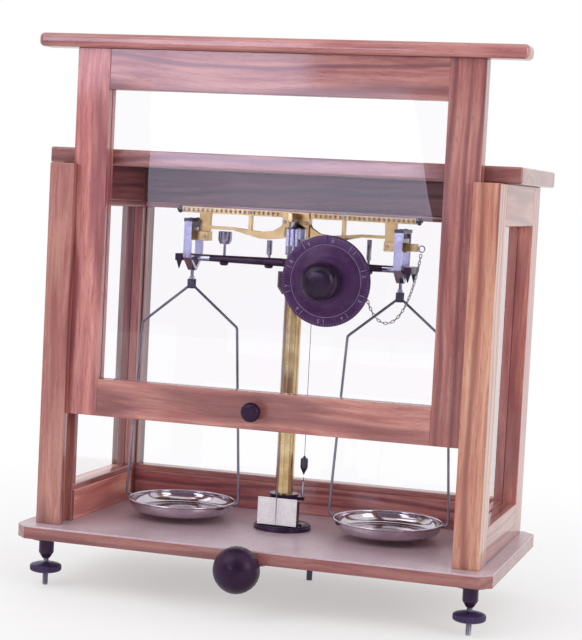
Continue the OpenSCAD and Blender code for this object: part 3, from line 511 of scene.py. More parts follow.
def flute(piece, centre, axis, reach, radius, depth, count):
    """Presses shallow flutes into what lies further than reach from an axis, every fourth column deepest."""
    a, b = {"X": (1, 2), "Y": (0, 2), "Z": (0, 1)}[axis]

    def phase(v):
        da, db = v.co[a] - centre[a], v.co[b] - centre[b]
        return 0 if math.hypot(da, db) < reach * MM else round(4 * count * math.atan2(db, da) / math.tau) % 4

    for share, phases in ((1.0, (2,)), (0.5, (1, 3))):
        edit(piece)
        pick(piece, lambda v: phase(v) in phases, "verts")
        size = [1 - depth * share / radius] * 3
        size["XYZ".index(axis)] = 1.0
        bpy.ops.transform.resize(value=size, center_override=centre)
        bpy.ops.object.mode_set(mode="OBJECT")


def joined(name, parts):
    """Several meshes as one piece."""
    only(parts[0])
    for part in parts[1:]:
        part.select_set(True)
    bpy.ops.object.join()
    return named(name)


def copied(piece, name, matrix):
    """A copy with its own mesh, moved by a matrix."""
    twin = bpy.data.objects.new(name, piece.data.copy())
    twin.data.transform(matrix)
    if matrix.determinant() < 0:
        twin.data.flip_normals()
    bpy.context.scene.collection.objects.link(twin)
    return twin


def wire(name, points, radius, bend, sides=3):
    """A round wire along points in the row frame, its corners bent to a radius."""
    path = [points[0]]
    for before, corner, after in zip(points, points[1:], points[2:]):
        way_in, way_out = (before - corner).normalized(), (after - corner).normalized()
        half = way_in.angle(way_out) / 2
        reach = bend * MM / math.tan(half)
        centre = corner + (way_in + way_out).normalized() * (bend * MM / math.sin(half))
        start, end = (corner + way * reach - centre for way in (way_in, way_out))
        for i in range(7):
            path.append(centre + start.normalized().slerp(end.normalized(), i / 6) * bend * MM)
    path.append(points[-1])
    curve = bpy.data.curves.new(name, "CURVE")
    curve.dimensions = "3D"
    curve.bevel_depth = radius * MM
    curve.bevel_resolution = sides
    curve.use_fill_caps = True
    spline = curve.splines.new("POLY")
    spline.points.add(len(path) - 1)
    for point, place in zip(spline.points, path):
        point.co = (*place, 1)
    piece = bpy.data.objects.new(name, curve)
    bpy.context.scene.collection.objects.link(piece)
    only(piece)
    bpy.ops.object.convert(target="MESH")
    piece = bpy.context.object
    tidy(piece)
    return piece


def hand_over(piece, material, body, slot, *nodes, angle=35.0):
    """Smooths a finished piece, gives it its finish and body, and lets it stand for its nodes."""
    only(piece)
    bpy.ops.object.shade_smooth_by_angle(angle=math.radians(angle))
    normals = piece.modifiers.new("normals", "WEIGHTED_NORMAL")
    normals.keep_sharp = True
    bpy.ops.object.modifier_apply(modifier=normals.name)
    piece.data.materials.clear()
    piece.data.materials.append(material)
    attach(piece, body)
    if nodes:
        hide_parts(*nodes)
    return piece


# Settings


class TimberSettings(bpy.types.PropertyGroup):
    """Colours and edges of the timber."""

    dark: FloatVectorProperty(name="Dark grain", description="Colour of the growth lines", subtype="COLOR",
                              size=4, min=0, max=1, default=tone("6C323C"))
    mid: FloatVectorProperty(name="Timber", description="Main colour of the timber", subtype="COLOR",
                             size=4, min=0, max=1, default=tone("A45659"))
    light: FloatVectorProperty(name="Light grain", description="Colour of the pale streaks", subtype="COLOR",
                               size=4, min=0, max=1, default=tone("C98680"))
    varnish: FloatProperty(name="Varnish", description="Strength of the varnish coat", min=0, max=1, default=0.7,
                           subtype="FACTOR")
    edge: FloatProperty(name="Edge", description="Rounding of the timber's edges in millimetres", min=0.1, max=2,
                        default=0.7)
    bead: FloatProperty(name="Bead", description="Height of a glazing bead in millimetres", min=3, max=12,
                        default=5.2)
    nosing: FloatProperty(name="Nosing", description="Rounding of the cap's edge in millimetres", min=1, max=5.5,
                          default=4.2)


class MetalSettings(bpy.types.PropertyGroup):
    """Colours of the metals and the enamel."""

    brass: FloatVectorProperty(name="Brass", description="Colour of the gilt brass", subtype="COLOR", min=0, max=1,
                               default=tone("EAD4A8")[:3])
    nickel: FloatVectorProperty(name="Nickel", description="Colour of the plated parts", subtype="COLOR", min=0,
                                max=1, default=tone("C6C5D8")[:3])
    enamel: FloatVectorProperty(name="Enamel", description="Colour of the black parts", subtype="COLOR", min=0,
                                max=1, default=tone("281530")[:3])
    wire: FloatProperty(name="Bow wire", description="Diameter of the bows' wire in millimetres", min=1.5, max=2.9,
                        default=2.3)


class GlassSettings(bpy.types.PropertyGroup):
    """The panes."""

    tint: FloatVectorProperty(name="Tint", description="Colour of the glass", subtype="COLOR", min=0, max=1,
                              default=(0.995, 0.99, 1.0))
    ior: FloatProperty(name="Refraction", description="Refractive index of the glass", min=1.3, max=2, default=1.42)


class DialSettings(bpy.types.PropertyGroup):
    """The figures on the dial."""

    parts: IntProperty(name="Numbers", description="How many numbers go round the dial", min=4, max=20, default=10)
    figure: FloatProperty(name="Figure height", description="Height of a number in millimetres", min=1.5, max=5,
                          default=3.4)


class StageSettings(bpy.types.PropertyGroup):
    """Floor and lamps."""

    floor: FloatVectorProperty(name="Floor", description="Colour of the floor", subtype="COLOR", min=0, max=1,
                               default=(0.9, 0.89, 0.9))
    key: FloatProperty(name="Main lamp", description="Power of the main lamp", unit="POWER", min=0, default=11)
    fill: FloatProperty(name="Side lamp", description="Power of the side lamp", unit="POWER", min=0, default=7)
    sky: FloatProperty(name="Ambient", description="Strength of the even light", min=0, max=1, default=0.8,
                       subtype="FACTOR")
    window: FloatProperty(name="Window", description="Brightness of the window that the panes reflect", min=0,
                          default=5.8)
    gloom: FloatProperty(name="Gloom", description="Brightness of the dark room that polished things reflect",
                         min=0, max=1, default=0.2, subtype="FACTOR")


# Pieces


class BALANCE_OT_base(bpy.types.Operator):
    """The wooden board with its cut corners, and the pale facing on it"""

    bl_idname = "balance.base"
    bl_label = "Base"

    def execute(self, context):
        edge = context.scene.balance_timber.edge
        plank = worked("base_board", "base_plank", edge)
        # The last number darkens the base board's timber as painted shading.
        hand_over(plank, teak("base_board", "X", 3, 0.6, 0.1, 0.66), "case", "teak", "base_board")
        veneer = worked("base_facing", "base_veneer", 0.4)
        hand_over(veneer, facing(), "case", "pale_facing", "base_facing")
        return {"FINISHED"}


class BALANCE_OT_posts(bpy.types.Operator):
    """The four corner posts, the front two grooved for the sash"""

    bl_idname = "balance.posts"
    bl_label = "Posts"

    def execute(self, context):
        edge = context.scene.balance_timber.edge
        # The third number of each post scales its timber's colours: painted shading below one, as on the rear left
        # post, painted light above one.
        for number, (side, warm, painted_light_and_shade) in enumerate((("front_left", 0.3, 0.82), ("front_right", 0.9, 0.95),
                                                      ("rear_left", 0.0, 0.5), ("rear_right", 0.3, 1.1))):
            node = side + "_post"
            post = worked(node, "post_" + side, edge)
            hand_over(post, teak(node, "Z", 11 + 5 * number, 1.0, warm, painted_light_and_shade), "case", "teak", node)
        return {"FINISHED"}


class BALANCE_OT_rails(bpy.types.Operator):
    """The side and back rails, and the beads that hold the panes"""

    bl_idname = "balance.rails"
    bl_label = "Rails and beads"

    def execute(self, context):
        look = context.scene.balance_timber
        # The second number of each rail scales its timber's colours: painted shading below one, as on the back top
        # rail, and painted light above one, as on the left bottom rail, whose inner face lies in shadow.
        hues_and_painted_light = {"left_bottom": (0.5, 2.0), "left_top": (0, 0.8), "right_bottom": (0.3, 0.88),
                "right_top": (0.4, 0.9), "back_bottom": (0, 0.95), "back_top": (0, 0.5)}
        for seed, (place, (warm, painted_light_and_shade)) in enumerate(hues_and_painted_light.items()):
            node = place + "_rail"
            rail = worked(node, "rail_" + place, look.edge)
            run = "X" if place.startswith("back") else "Y"
            glare = 1.15 if place == "back_top" else 1.5
            hand_over(rail, teak(node, run, 2 + seed, 0.9, warm, painted_light_and_shade, glare), "case", "teak", node)
        runs = {"X": [], "Y": [], "Z": []}
        rings = worked("glazing_beads", "bead_rings")
        edit(rings)
        bpy.ops.mesh.separate(type="LOOSE")
        bpy.ops.object.mode_set(mode="OBJECT")
        for ring in list(bpy.context.selected_objects):
            low, high = (Vector([pick_one(v.co[i] for v in ring.data.vertices) for i in range(3)])
                         for pick_one in (min, max))
            across = 0 if high.x - low.x > high.y - low.y else 1
            width = look.bead * MM
            bpy.data.objects.remove(ring)
            for start, end in ((low.z, low.z + width), (high.z - width, high.z)):
                runs["XY"[across]].append(block("bead", Vector((low.x, low.y, start)), Vector((high.x, high.y, end))))
            for start, end in ((low[across], low[across] + width), (high[across] - width, high[across])):
                first, last = low.copy(), high.copy()
                first[across], last[across] = start, end
                first.z, last.z = low.z + width, high.z - width
                runs["Z"].append(block("bead", first, last))
        for run, strips in runs.items():
            lines = joined("beads_along_" + run.lower(), strips)
            soften(lines, 0.8, 3)
            # The last number darkens the beads' timber as painted shading.
            hand_over(lines, teak("glazing_beads", run, 9, 0.5, 0.1, 0.9), "case", "teak", "glazing_beads")
        return {"FINISHED"}


class BALANCE_OT_top_board(bpy.types.Operator):
    """The board on top of the case, behind the sash"""

    bl_idname = "balance.top_board"
    bl_label = "Top board"

    def execute(self, context):
        board = worked("top_board", "top_plank", 2.0, 4)
        # The number before the last darkens the top board's timber as painted shading.
        hand_over(board, teak("top_board", "X", 21, 0.8, 0.2, 0.68, 1.65), "case", "teak", "top_board")
        return {"FINISHED"}


class BALANCE_OT_panes(bpy.types.Operator):
    """The fixed panes and the pane of the sash"""

    bl_idname = "balance.panes"
    bl_label = "Panes"

    def execute(self, context):
        for number, side in enumerate(("left", "right", "back", "sash")):
            pane = worked(side + "_pane", "glass_" + side, 0.25, 1)
            body = "sash" if side == "sash" else "case"
            hand_over(pane, pane_glass(side, 3.1 * number), body, "pane_glass", side + "_pane")
        return {"FINISHED"}


class BALANCE_OT_sash(bpy.types.Operator):
    """The frame of the rising sash with the cap along its top"""

    bl_idname = "balance.sash"
    bl_label = "Sash"

    def execute(self, context):
        look = context.scene.balance_timber
        # The last number of each member scales its timber's colours: painted light above one, as on the left stile,
        # painted shading below one.
        for number, (part, run, warm, painted_light_and_shade) in enumerate((
                ("left_stile", "Z", 0.1, 1.12), ("right_stile", "Z", 0.2, 0.8), ("bottom_rail", "X", 0.2, 0.9),
                ("top_rail", "X", 0.1, 0.8))):
            member = worked("sash_" + part, "frame_" + part, look.edge * 0.7)
            node = "sash_" + part
            glare = 1.65 if part == "top_rail" else 1.5
            hand_over(member, teak(node, run, 31 + 5 * number, 0.9, warm, painted_light_and_shade, glare), "sash", "teak", node)
        cap = worked("sash_cap", "frame_cap", look.nosing, 6)
        # The number before the last darkens the cap's timber as painted shading.
        hand_over(cap, teak("sash_cap", "X", 47, 0.7, 0.05, 0.9, 1.65), "sash", "teak", "sash_cap")
        return {"FINISHED"}


class BALANCE_OT_sash_knob(bpy.types.Operator):
    """The round black knob that lifts the sash"""

    bl_idname = "balance.sash_knob"
    bl_label = "Sash knob"

    def execute(self, context):
        low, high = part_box("sash_knob")
        length, r = (high.y - low.y) / MM, (high.x - low.x) / MM / 2
        foot = Vector(((low.x + high.x) / 2, high.y, (low.z + high.z) / 2))
        profile = [(0, 0), (r * 0.62, 0), (r * 0.62, 1.0), (r * 0.5, 1.6), (r * 0.46, length * 0.34)]
        profile += [(r * 0.8, length * 0.42)] + arc(r - length * 0.3, length * 0.7, length * 0.3, -60, 85, 10)
        profile += [(r * 0.3, length * 0.995), (0, length)]
        knob = turned("knob_of_sash", profile, foot, "-Y", 56)
        hand_over(knob, moulded(), "sash", "black_knob", "sash_knob")
        return {"FINISHED"}


class BALANCE_OT_feet(bpy.types.Operator):
    """Sockets, threaded screws and fluted wheels of the levelling feet, and the plain rear foot"""

    bl_idname = "balance.feet"
    bl_label = "Feet"

    def execute(self, context):
        low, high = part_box("foot_sockets")
        depth = (high.z - low.z) / MM
        flange_r, neck_r, bore_r = 15.0, 6.4, 2.62
        cup = [(0, 0), (flange_r, 0), (flange_r, 2.2), (flange_r - 0.8, 3), (neck_r + 1.4, 3.2),
               (neck_r + 0.3, 4.2), (neck_r, 5.2), (neck_r, depth - 5.2), (neck_r - 0.5, depth - 4.2),
               (neck_r * 0.58, depth - 0.6), (neck_r * 0.5, depth), (bore_r, depth), (bore_r, 1.2), (0, 1.2)]
        sockets = []
        for side in ("left", "right"):
            screw_low, screw_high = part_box(side + "_foot_screw")
            middle = (screw_low + screw_high) / 2
            sockets.append(turned("socket_" + side, cup, Vector((middle.x, middle.y, high.z)), "-Z", 48))
            r = (screw_high.x - screw_low.x) / MM / 2
            length = (screw_high.z - screw_low.z) / MM
            pitch, root = 0.8, r - 0.42
            thread = [(0, 0), (r - 0.85, 0), (root, 0.7)]
            for i in range(int((length - 1.4) / pitch)):
                thread += [(r, 0.9 + (i + 0.35) * pitch), (root, 0.9 + (i + 0.85) * pitch)]
            thread += [(root, length), (0, length)]
            foot = Vector((middle.x, middle.y, screw_low.z))
            screw = turned("thread_" + side, thread, foot, "Z", 24)
            hand_over(screw, steel(), side + "_screw", "steel", side + "_foot_screw", angle=50)
            wheel_low, wheel_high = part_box(side + "_foot_wheel")
            wr, wt = (wheel_high.x - wheel_low.x) / MM / 2, (wheel_high.z - wheel_low.z) / MM
            rim = [(bore_r, 0), (bore_r + 2.6, 0), (wr - 3.4, 0.7), (wr - 1.2, 1.5), (wr - 0.3, 2.2), (wr, 3.0),
                   (wr, wt - 3.2), (wr - 0.3, wt - 2.5), (wr - 1.2, wt - 1.8), (wr - 3.4, wt - 1.1),
                   (bore_r + 2.6, wt), (bore_r, wt), (bore_r, 0)]
            foot = Vector((middle.x, middle.y, wheel_low.z))
            wheel = turned("wheel_" + side, rim, foot, "Z", 144)
            flute(wheel, foot, "Z", wr - 0.7, wr, 0.4, 36)
            hand_over(wheel, enamel("wheel enamel", 0.26, 0.15, tone("2C2244"), tone("443A60")), side + "_wheel",
                      "black_knob", side + "_foot_wheel")
        pair = joined("socket_pair", sockets)
        hand_over(pair, enamel(), "case", "black_enamel", "foot_sockets")
        rear = worked("rear_foot", "rear_peg", 0.4)
        hand_over(rear, dark_steel(), "case", "dark_steel", "rear_foot")
        return {"FINISHED"}


class BALANCE_OT_arrest_knob(bpy.types.Operator):
    """The round knob under the front edge that works the arrest"""

    bl_idname = "balance.arrest_knob"
    bl_label = "Arrest knob"

    def execute(self, context):
        low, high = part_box("arrest_knob")
        r, length = (high.x - low.x) / MM / 2, (high.y - low.y) / MM
        foot = Vector(((low.x + high.x) / 2, high.y, (low.z + high.z) / 2))
        rim = 8.5
        profile = [(2.8, 0), (r * 0.72, 0), (r * 0.86, 0.9), (r - 0.5, 3.0), (r, 4.6), (r, rim)]
        for i in range(1, 13):
            a = QUARTER * i / 13
            profile.append((r * math.cos(a), rim + (length - rim) * math.sin(a)))
        profile += [(0, length), (0, length * 0.62), (2.8, length * 0.62), (2.8, 0)]
        knob = turned("knob_of_arrest", profile, foot, "-Y", 120)
        flute(knob, foot, "Y", r - 0.5, r, 0.3, 30)
        hand_over(knob, moulded(), "arrest_control", "black_knob", "arrest_knob")
        return {"FINISHED"}


class BALANCE_OT_arrest_gear(bpy.types.Operator):
    """Shaft, cam, brackets and screws under the base, and the lifting rod in the column"""

    bl_idname = "balance.arrest_gear"
    bl_label = "Arrest gear"

    def execute(self, context):
        for node, name, body, material, slot in (
                ("arrest_shaft", "cam_shaft", "arrest_control", steel("Y"), "steel"),
                ("shaft_brackets", "bracket_pair", "case", dark_steel("X"), "dark_steel"),
                ("fixing_screws", "slotted_screws", "case", steel("X"), "steel"),
                ("lifting_rod", "rod_and_pin", "arrest", steel("Z"), "steel")):
            piece = worked(node, name, 0.25)
            hand_over(piece, material, body, slot, node)
        return {"FINISHED"}


class BALANCE_OT_arrest_arm(bpy.types.Operator):
    """The black arm that steadies the beam, its steel ends, and its pillars with their nuts"""

    bl_idname = "balance.arrest_arm"
    bl_label = "Arrest arm"

    def execute(self, context):
        arm = worked("arrest_arm", "arm_casting", 0.3)
        hand_over(arm, enamel(), "arrest", "black_enamel", "arrest_arm")
        low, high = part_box("arrest_arm")
        middle = (low + high) / 2
        height = TOP_Z + 231 * MM
        sleeves = []
        for sign in (-1, 1):
            start = Vector((sign * 77.5 * MM, middle.y, height))
            tube = [(0, 0), (2.8, 0), (3.06, 0.3), (3.06, 19.7), (2.8, 20), (0, 20)]
            sleeves.append(turned("sleeve", tube, start, "X" if sign > 0 else "-X", 40))
        hand_over(joined("arm_sleeves", sleeves), nickel("X"), "arrest", "steel")
        low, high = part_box("arrest_pillars")
        parts = []
        tilt = math.sin(math.radians(1.2))
        for x, under, head_r, head_h in ((-65, 256.5, 6, 11), (65, 256.5, 2.1, 18), (-24, 250.2, 2.5, 13),
                                         (24, 250.2, 2.5, 13)):
            top = under - (abs(x) + head_r) * tilt - 0.16
            base = top - head_h
            neck = 1.2
            profile = [(0, 0), (neck, 0), (neck, base - 234.2), (head_r * 0.5, base - 234),
                       (head_r * 0.74, base - 233.7)]
            if head_r > 4:
                profile += [(head_r * 0.94, base - 231.2), (head_r, base - 230.4), (head_r, top - 234.4),
                            (head_r - 0.4, top - 234), (head_r - 1.2, top - 234), (head_r - 1.4, top - 235),
                            (0, top - 235)]
            else:
                profile += [(head_r, base - 232.6), (head_r, top - 234.5), (head_r - 0.5, top - 234),
                            (0, top - 234)]
            parts.append(turned("pillar", profile, at(x, 108, 234), "Z", 40))
            nut = [(0, 0), (2.4, 0.1), (3.4, 0.8), (3.9, 1.8), (3.9, 2.6), (3.4, 3), (0, 3)]
            parts.append(turned("nut", nut, at(x, 108, low.z / MM - TOP_Z / MM), "Z", 24))
        nuts = joined("pillar_nuts", parts[1::2])
        hand_over(nuts, enamel(), "arrest", "black_enamel")
        pillars = joined("turned_pillars", parts[0::2])
        hand_over(pillars, nickel(), "arrest", "nickel", "arrest_pillars")
        return {"FINISHED"}


class BALANCE_OT_column(bpy.types.Operator):
    """The brass column with its black foot and collar, its nickel head and the hard planes"""

    bl_idname = "balance.column"
    bl_label = "Column"

    def execute(self, context):
        for node, name, material, slot, edge in (
                ("column", "column_tube", brass("Z"), "gilt_brass", 0.3),
                ("column_collar", "collar_ring", enamel(), "black_enamel", 0.35),
                ("column_flange", "column_foot", enamel(), "black_enamel", 0.4),
                ("column_head", "head_block", nickel("Z"), "nickel", 0.5),
                ("knife_planes", "plane_stones", dark_steel("Y"), "dark_steel", 0.1)):
            hand_over(worked(node, name, edge), material, "case", slot, node)
        return {"FINISHED"}


class BALANCE_OT_scale_plate(bpy.types.Operator):
    """The white plate with its fine divisions, on the black block that carries it"""

    bl_idname = "balance.scale_plate"
    bl_label = "Scale plate"

    def execute(self, context):
        low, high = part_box("scale_plate")
        thick = 1.5 * MM
        plate = block("white_plate_face", low + Vector((0, 0, 1 * MM)), Vector((high.x, low.y + thick, high.z)))
        soften(plate, 0.3)
        hand_over(plate, paint("white plate", tone("E9E6EC"), tone("F7F5F7"), 0.22), "case", "white_plate",
                  "scale_plate")
        width = (high.x - low.x) / 2 - 0.3 * MM
        carrier = block("plate_carrier", Vector((-width, low.y + thick, low.z)),
                        Vector((width, high.y, TOP_Z + 25.8 * MM)))
        soften(carrier, 0.6)
        hand_over(carrier, enamel(), "case", "black_enamel")
        marks = []
        for i in range(-3, 4):
            tall = 3.0 if i % 3 == 0 else 1.6
            foot = at(i * 3.4, 0, 15.5)
            half = 0.1 * MM
            marks.append(block("mark", Vector((foot.x - half, low.y - 0.03 * MM, foot.z)),
                               Vector((foot.x + half, low.y + 0.1 * MM, foot.z + tall * MM))))
        hand_over(joined("plate_divisions", marks), paint("plate ink", tone("9A93A0"), tone("B0A9B6")), "case",
                  "dark_steel")
        return {"FINISHED"}


class BALANCE_OT_beam(bpy.types.Operator):
    """The brass beam with its divided bar, knives, poising nuts and the hook for the chain"""

    bl_idname = "balance.beam"
    bl_label = "Beam"

    def execute(self, context):
        beam = worked("beam", "beam_casting", 0.3)
        pale = metal("pale gilt brass", tone("D9C08E"), tone("B89660"), 0.24, "X")
        hand_over(beam, pale, "beam", "gilt_brass", "beam")
        low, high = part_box("beam")
        front = FRONT_Y + (108 - 2.5) * MM
        marks = []
        for i in range(-72, 73):
            if abs(i) < 10:
                continue
            tall, half = (3.0, 0.85 * MM) if i % 3 == 0 else (1.8, 0.12 * MM)
            x, top = i * 1.43 * MM, high.z - 0.9 * MM
            marks.append(block("division", Vector((x - half, front - 0.04 * MM, top - tall * MM)),
                               Vector((x + half, front + 0.1 * MM, top))))
        hand_over(joined("beam_divisions", marks), paint("division ink", tone("7A5636"), tone("9A7650")), "beam",
                  "dark_steel")
        screws = []
        for x, z in ((-82, 250), (82, 250), (-42, 272.5), (42, 272.5), (-10, 266), (10, 266)):
            out = 6.0 if abs(x) > 80 else (5.0 if abs(x) < 20 else 2.5)
            head = [(0, 0), (1.5, 0), (1.5, 0.5), (1.1, 0.9), (0, 1.0)]
            screws.append(turned("screw", head, at(x, 108 - out, z), "-Y", 20))
        hand_over(joined("beam_screws", screws), steel("X"), "beam", "steel")
        knives = worked("knife_edges", "knife_prisms")
        hand_over(knives, steel("Y"), "beam", "dark_steel", "knife_edges")
        nuts = []
        for sign in (-1, 1):
            start = at(sign * 105, 108, 272.5)
            thread = [(0, 0)]
            for i in range(9):
                thread += [(1.0, i * 0.6), (1.25, i * 0.6 + 0.3)]
            thread += [(1.0, 5.4), (0, 5.5)]
            axis = "X" if sign > 0 else "-X"
            nuts.append(turned("spindle", thread, start, axis, 20))
            disc = [(1.1, 1.0), (2.2, 1.0), (2.9, 1.1), (3.25, 1.4), (3.25, 3.6), (2.9, 3.9), (2.2, 4.0), (1.1, 4.0),
                    (1.1, 1.0)]
            nut = turned("nut", disc, start, axis, 72)
            flute(nut, start, "X", 3.0, 3.25, 0.3, 18)
            nuts.append(nut)
        hand_over(joined("threaded_nuts", nuts), dark_steel("X"), "beam", "dark_steel", "poising_nuts")
        only(None)
        ring_low, ring_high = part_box("chain_hook")
        r = (ring_high.z - ring_low.z) / 2
        bpy.ops.mesh.primitive_torus_add(major_radius=r - 0.6 * MM, minor_radius=0.55 * MM, major_segments=40,
                                         minor_segments=12, rotation=(QUARTER, 0, 0),
                                         location=(ring_high.x - r, (ring_low.y + ring_high.y) / 2,
                                                   (ring_low.z + ring_high.z) / 2))
        ring = named("ring")
        settle(ring)
        stalk = [(0, 0), (1.1, 0), (1.1, 0.5), (0.75, 0.9), (0.7, 1.6), (0, 1.8)]
        post = turned("stalk", stalk, at(107.5, 108, 249.5), "X", 20)
        hand_over(joined("hook_ring", [ring, post]), nickel(), "beam", "nickel", "chain_hook")
        return {"FINISHED"}


class BALANCE_OT_pointer(bpy.types.Operator):
    """The long thin pointer with its bracket"""

    bl_idname = "balance.pointer"
    bl_label = "Pointer"

    def execute(self, context):
        low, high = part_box("pointer")
        r = 0.75
        length = (high.z - low.z) / MM - 5
        middle = Vector(((low.x + high.x) / 2, low.y + r * MM, low.z))
        profile = [(0, 0), (0.12, 0.3), (0.25, 4), (0.35, 12), (0.5, 40), (r, length - 8), (r, length), (0, length)]
        needle = turned("pointer_needle", profile, middle, "Z", 20)
        bracket = block("pointer_bracket", Vector((low.x, low.y, high.z - 7.4 * MM)), high)
        soften(bracket, 0.35)
        hand_over(needle, grey_nickel(), "beam", "nickel")
        hand_over(bracket, brass("Z"), "beam", "gilt_brass", "pointer")
        return {"FINISHED"}


class BALANCE_OT_stirrups(bpy.types.Operator):
    """The two frames that hang from the end knives"""

    bl_idname = "balance.stirrups"
    bl_label = "Stirrups"

    def execute(self, context):
        for side in ("left", "right"):
            plate = worked(side + "_stirrup", "frame_stirrup_" + side, 0.25)
            hand_over(plate, nickel(), side + "_stirrup", "nickel", side + "_stirrup")
            low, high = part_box(side + "_stirrup")
            proud = Vector((0.08, 0.08, 0)) * MM
            cap = block("bearing_cap_" + side, Vector((low.x, low.y, high.z - 2.9 * MM)) - proud,
                        high + proud + Vector((0, 0, 0.1 * MM)))
            soften(cap, 0.3)
            hand_over(cap, dark_steel("X"), side + "_stirrup", "dark_steel")
            heads = []
            for dy in (-9, 9):
                head = [(0, 0), (1.6, 0), (1.6, 0.35), (1.2, 0.6), (0, 0.65)]
                heads.append(turned("head", head, Vector(((low.x + high.x) / 2, FRONT_Y + (108 + dy) * MM, high.z)),
                                    "Z", 24))
            hand_over(joined("stirrup_screws_" + side, heads), dark_steel(), side + "_stirrup", "dark_steel")
        return {"FINISHED"}


class BALANCE_OT_bows(bpy.types.Operator):
    """The bent wire bows with their forks and pins"""

    bl_idname = "balance.bows"
    bl_label = "Bows"

    def execute(self, context):
        look = context.scene.balance_metals
        for side, sign in (("left", -1), ("right", 1)):
            x = 94 * sign
            hook = 210
            parts = []
            for way in (-1, 1):
                points = [at(x + way * 2.2, 108, hook - 4.4), at(x + way * 44, 108, hook - 38.5),
                          at(x + way * 52.9, 108, 16.2), at(x + way * 47.4, 108, 16.2)]
                parts.append(wire("wire", points, look.wire / 2, 4.0))
                tip = [(0, 0), (1.3, 0.2), (1.6, 0.9), (1.6, 1.7), (1.3, 2.4), (0, 2.5)]
                parts.append(turned("tip", tip, at(x + way * 49.9, 108, 16.2), "-X" if way > 0 else "X", 24))
            fork = block("bow_fork_" + side, at(x - 2.9, 104.4, hook - 6.5), at(x + 2.9, 111.6, hook - 3.1))
            edit(fork)
            for y in (106.25, 109.75):
                bpy.ops.mesh.select_all(action="SELECT")
                bpy.ops.mesh.bisect(plane_co=at(0, y, 0), plane_no=(0, 1, 0))
            bpy.ops.mesh.select_mode(type="FACE")
            bpy.ops.mesh.select_all(action="DESELECT")
            line = at(0, 108, 0).y
            pick(fork, lambda f: f.normal.z > 0.9 and abs(f.calc_center_median().y - line) > 2 * MM)
            bpy.ops.mesh.extrude_region_move(TRANSFORM_OT_translate={"value": (0, 0, 4.9 * MM)})
            bpy.ops.object.mode_set(mode="OBJECT")
            tidy(fork)
            soften(fork, 0.4)
            pin = [(0, 0), (1.4, 0), (1.4, 0.5), (0.85, 0.7), (0.85, 6.9), (1.4, 7.1), (1.4, 7.6), (0, 7.6)]
            fork = joined("bow_fork_" + side, [fork, turned("pin", pin, at(x, 104.2, hook), "Y", 24)])
            hand_over(fork, dark_steel(), side + "_hanger", "nickel")
            hand_over(joined("bow_wire_" + side, parts), grey_nickel(), side + "_hanger", "nickel", side + "_bow")
        return {"FINISHED"}


class BALANCE_OT_pans(bpy.types.Operator):
    """The two spun pans with their rolled rims"""

    bl_idname = "balance.pans"
    bl_label = "Pans"

    def execute(self, context):
        for side in ("left", "right"):
            low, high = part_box(side + "_pan")
            middle = (low + high) / 2
            deep = (high.z - low.z) / MM
            roll = 0.9
            r = (high.x - low.x) / MM / 2 - roll
            flat, wall = r * 0.84, 0.8
            outer = [(0, 0.3), (flat * 0.9, 0.3), (flat * 0.94, 0), (flat, 0.05)]
            sides = []
            for i in range(1, 15):
                a = QUARTER * i / 14
                sides.append((flat + (r - flat) * math.sin(a), (deep - roll) * (1 - math.cos(a))))
            rim = arc(r, deep - roll, roll, -40, 190, 14)
            inner = [(flat + (r - wall - flat) * math.sin(QUARTER * i / 14),
                      wall + (deep - roll - wall) * (1 - math.cos(QUARTER * i / 14))) for i in range(13, -1, -1)]
            inner += [(flat * 0.9, wall + 0.15), (0, wall + 0.15)]
            pan = turned("spun_pan_" + side, outer + sides[:-1] + rim + inner, Vector((middle.x, middle.y, low.z)),
                         "Z", 128)
            bright = metal("polished nickel", tone("D2CDD4"), tone("B8A9B2"), 0.05, "X", 0.35, 0.02)
            hand_over(pan, bright, side + "_hanger", "nickel", side + "_pan", angle=40)
        return {"FINISHED"}


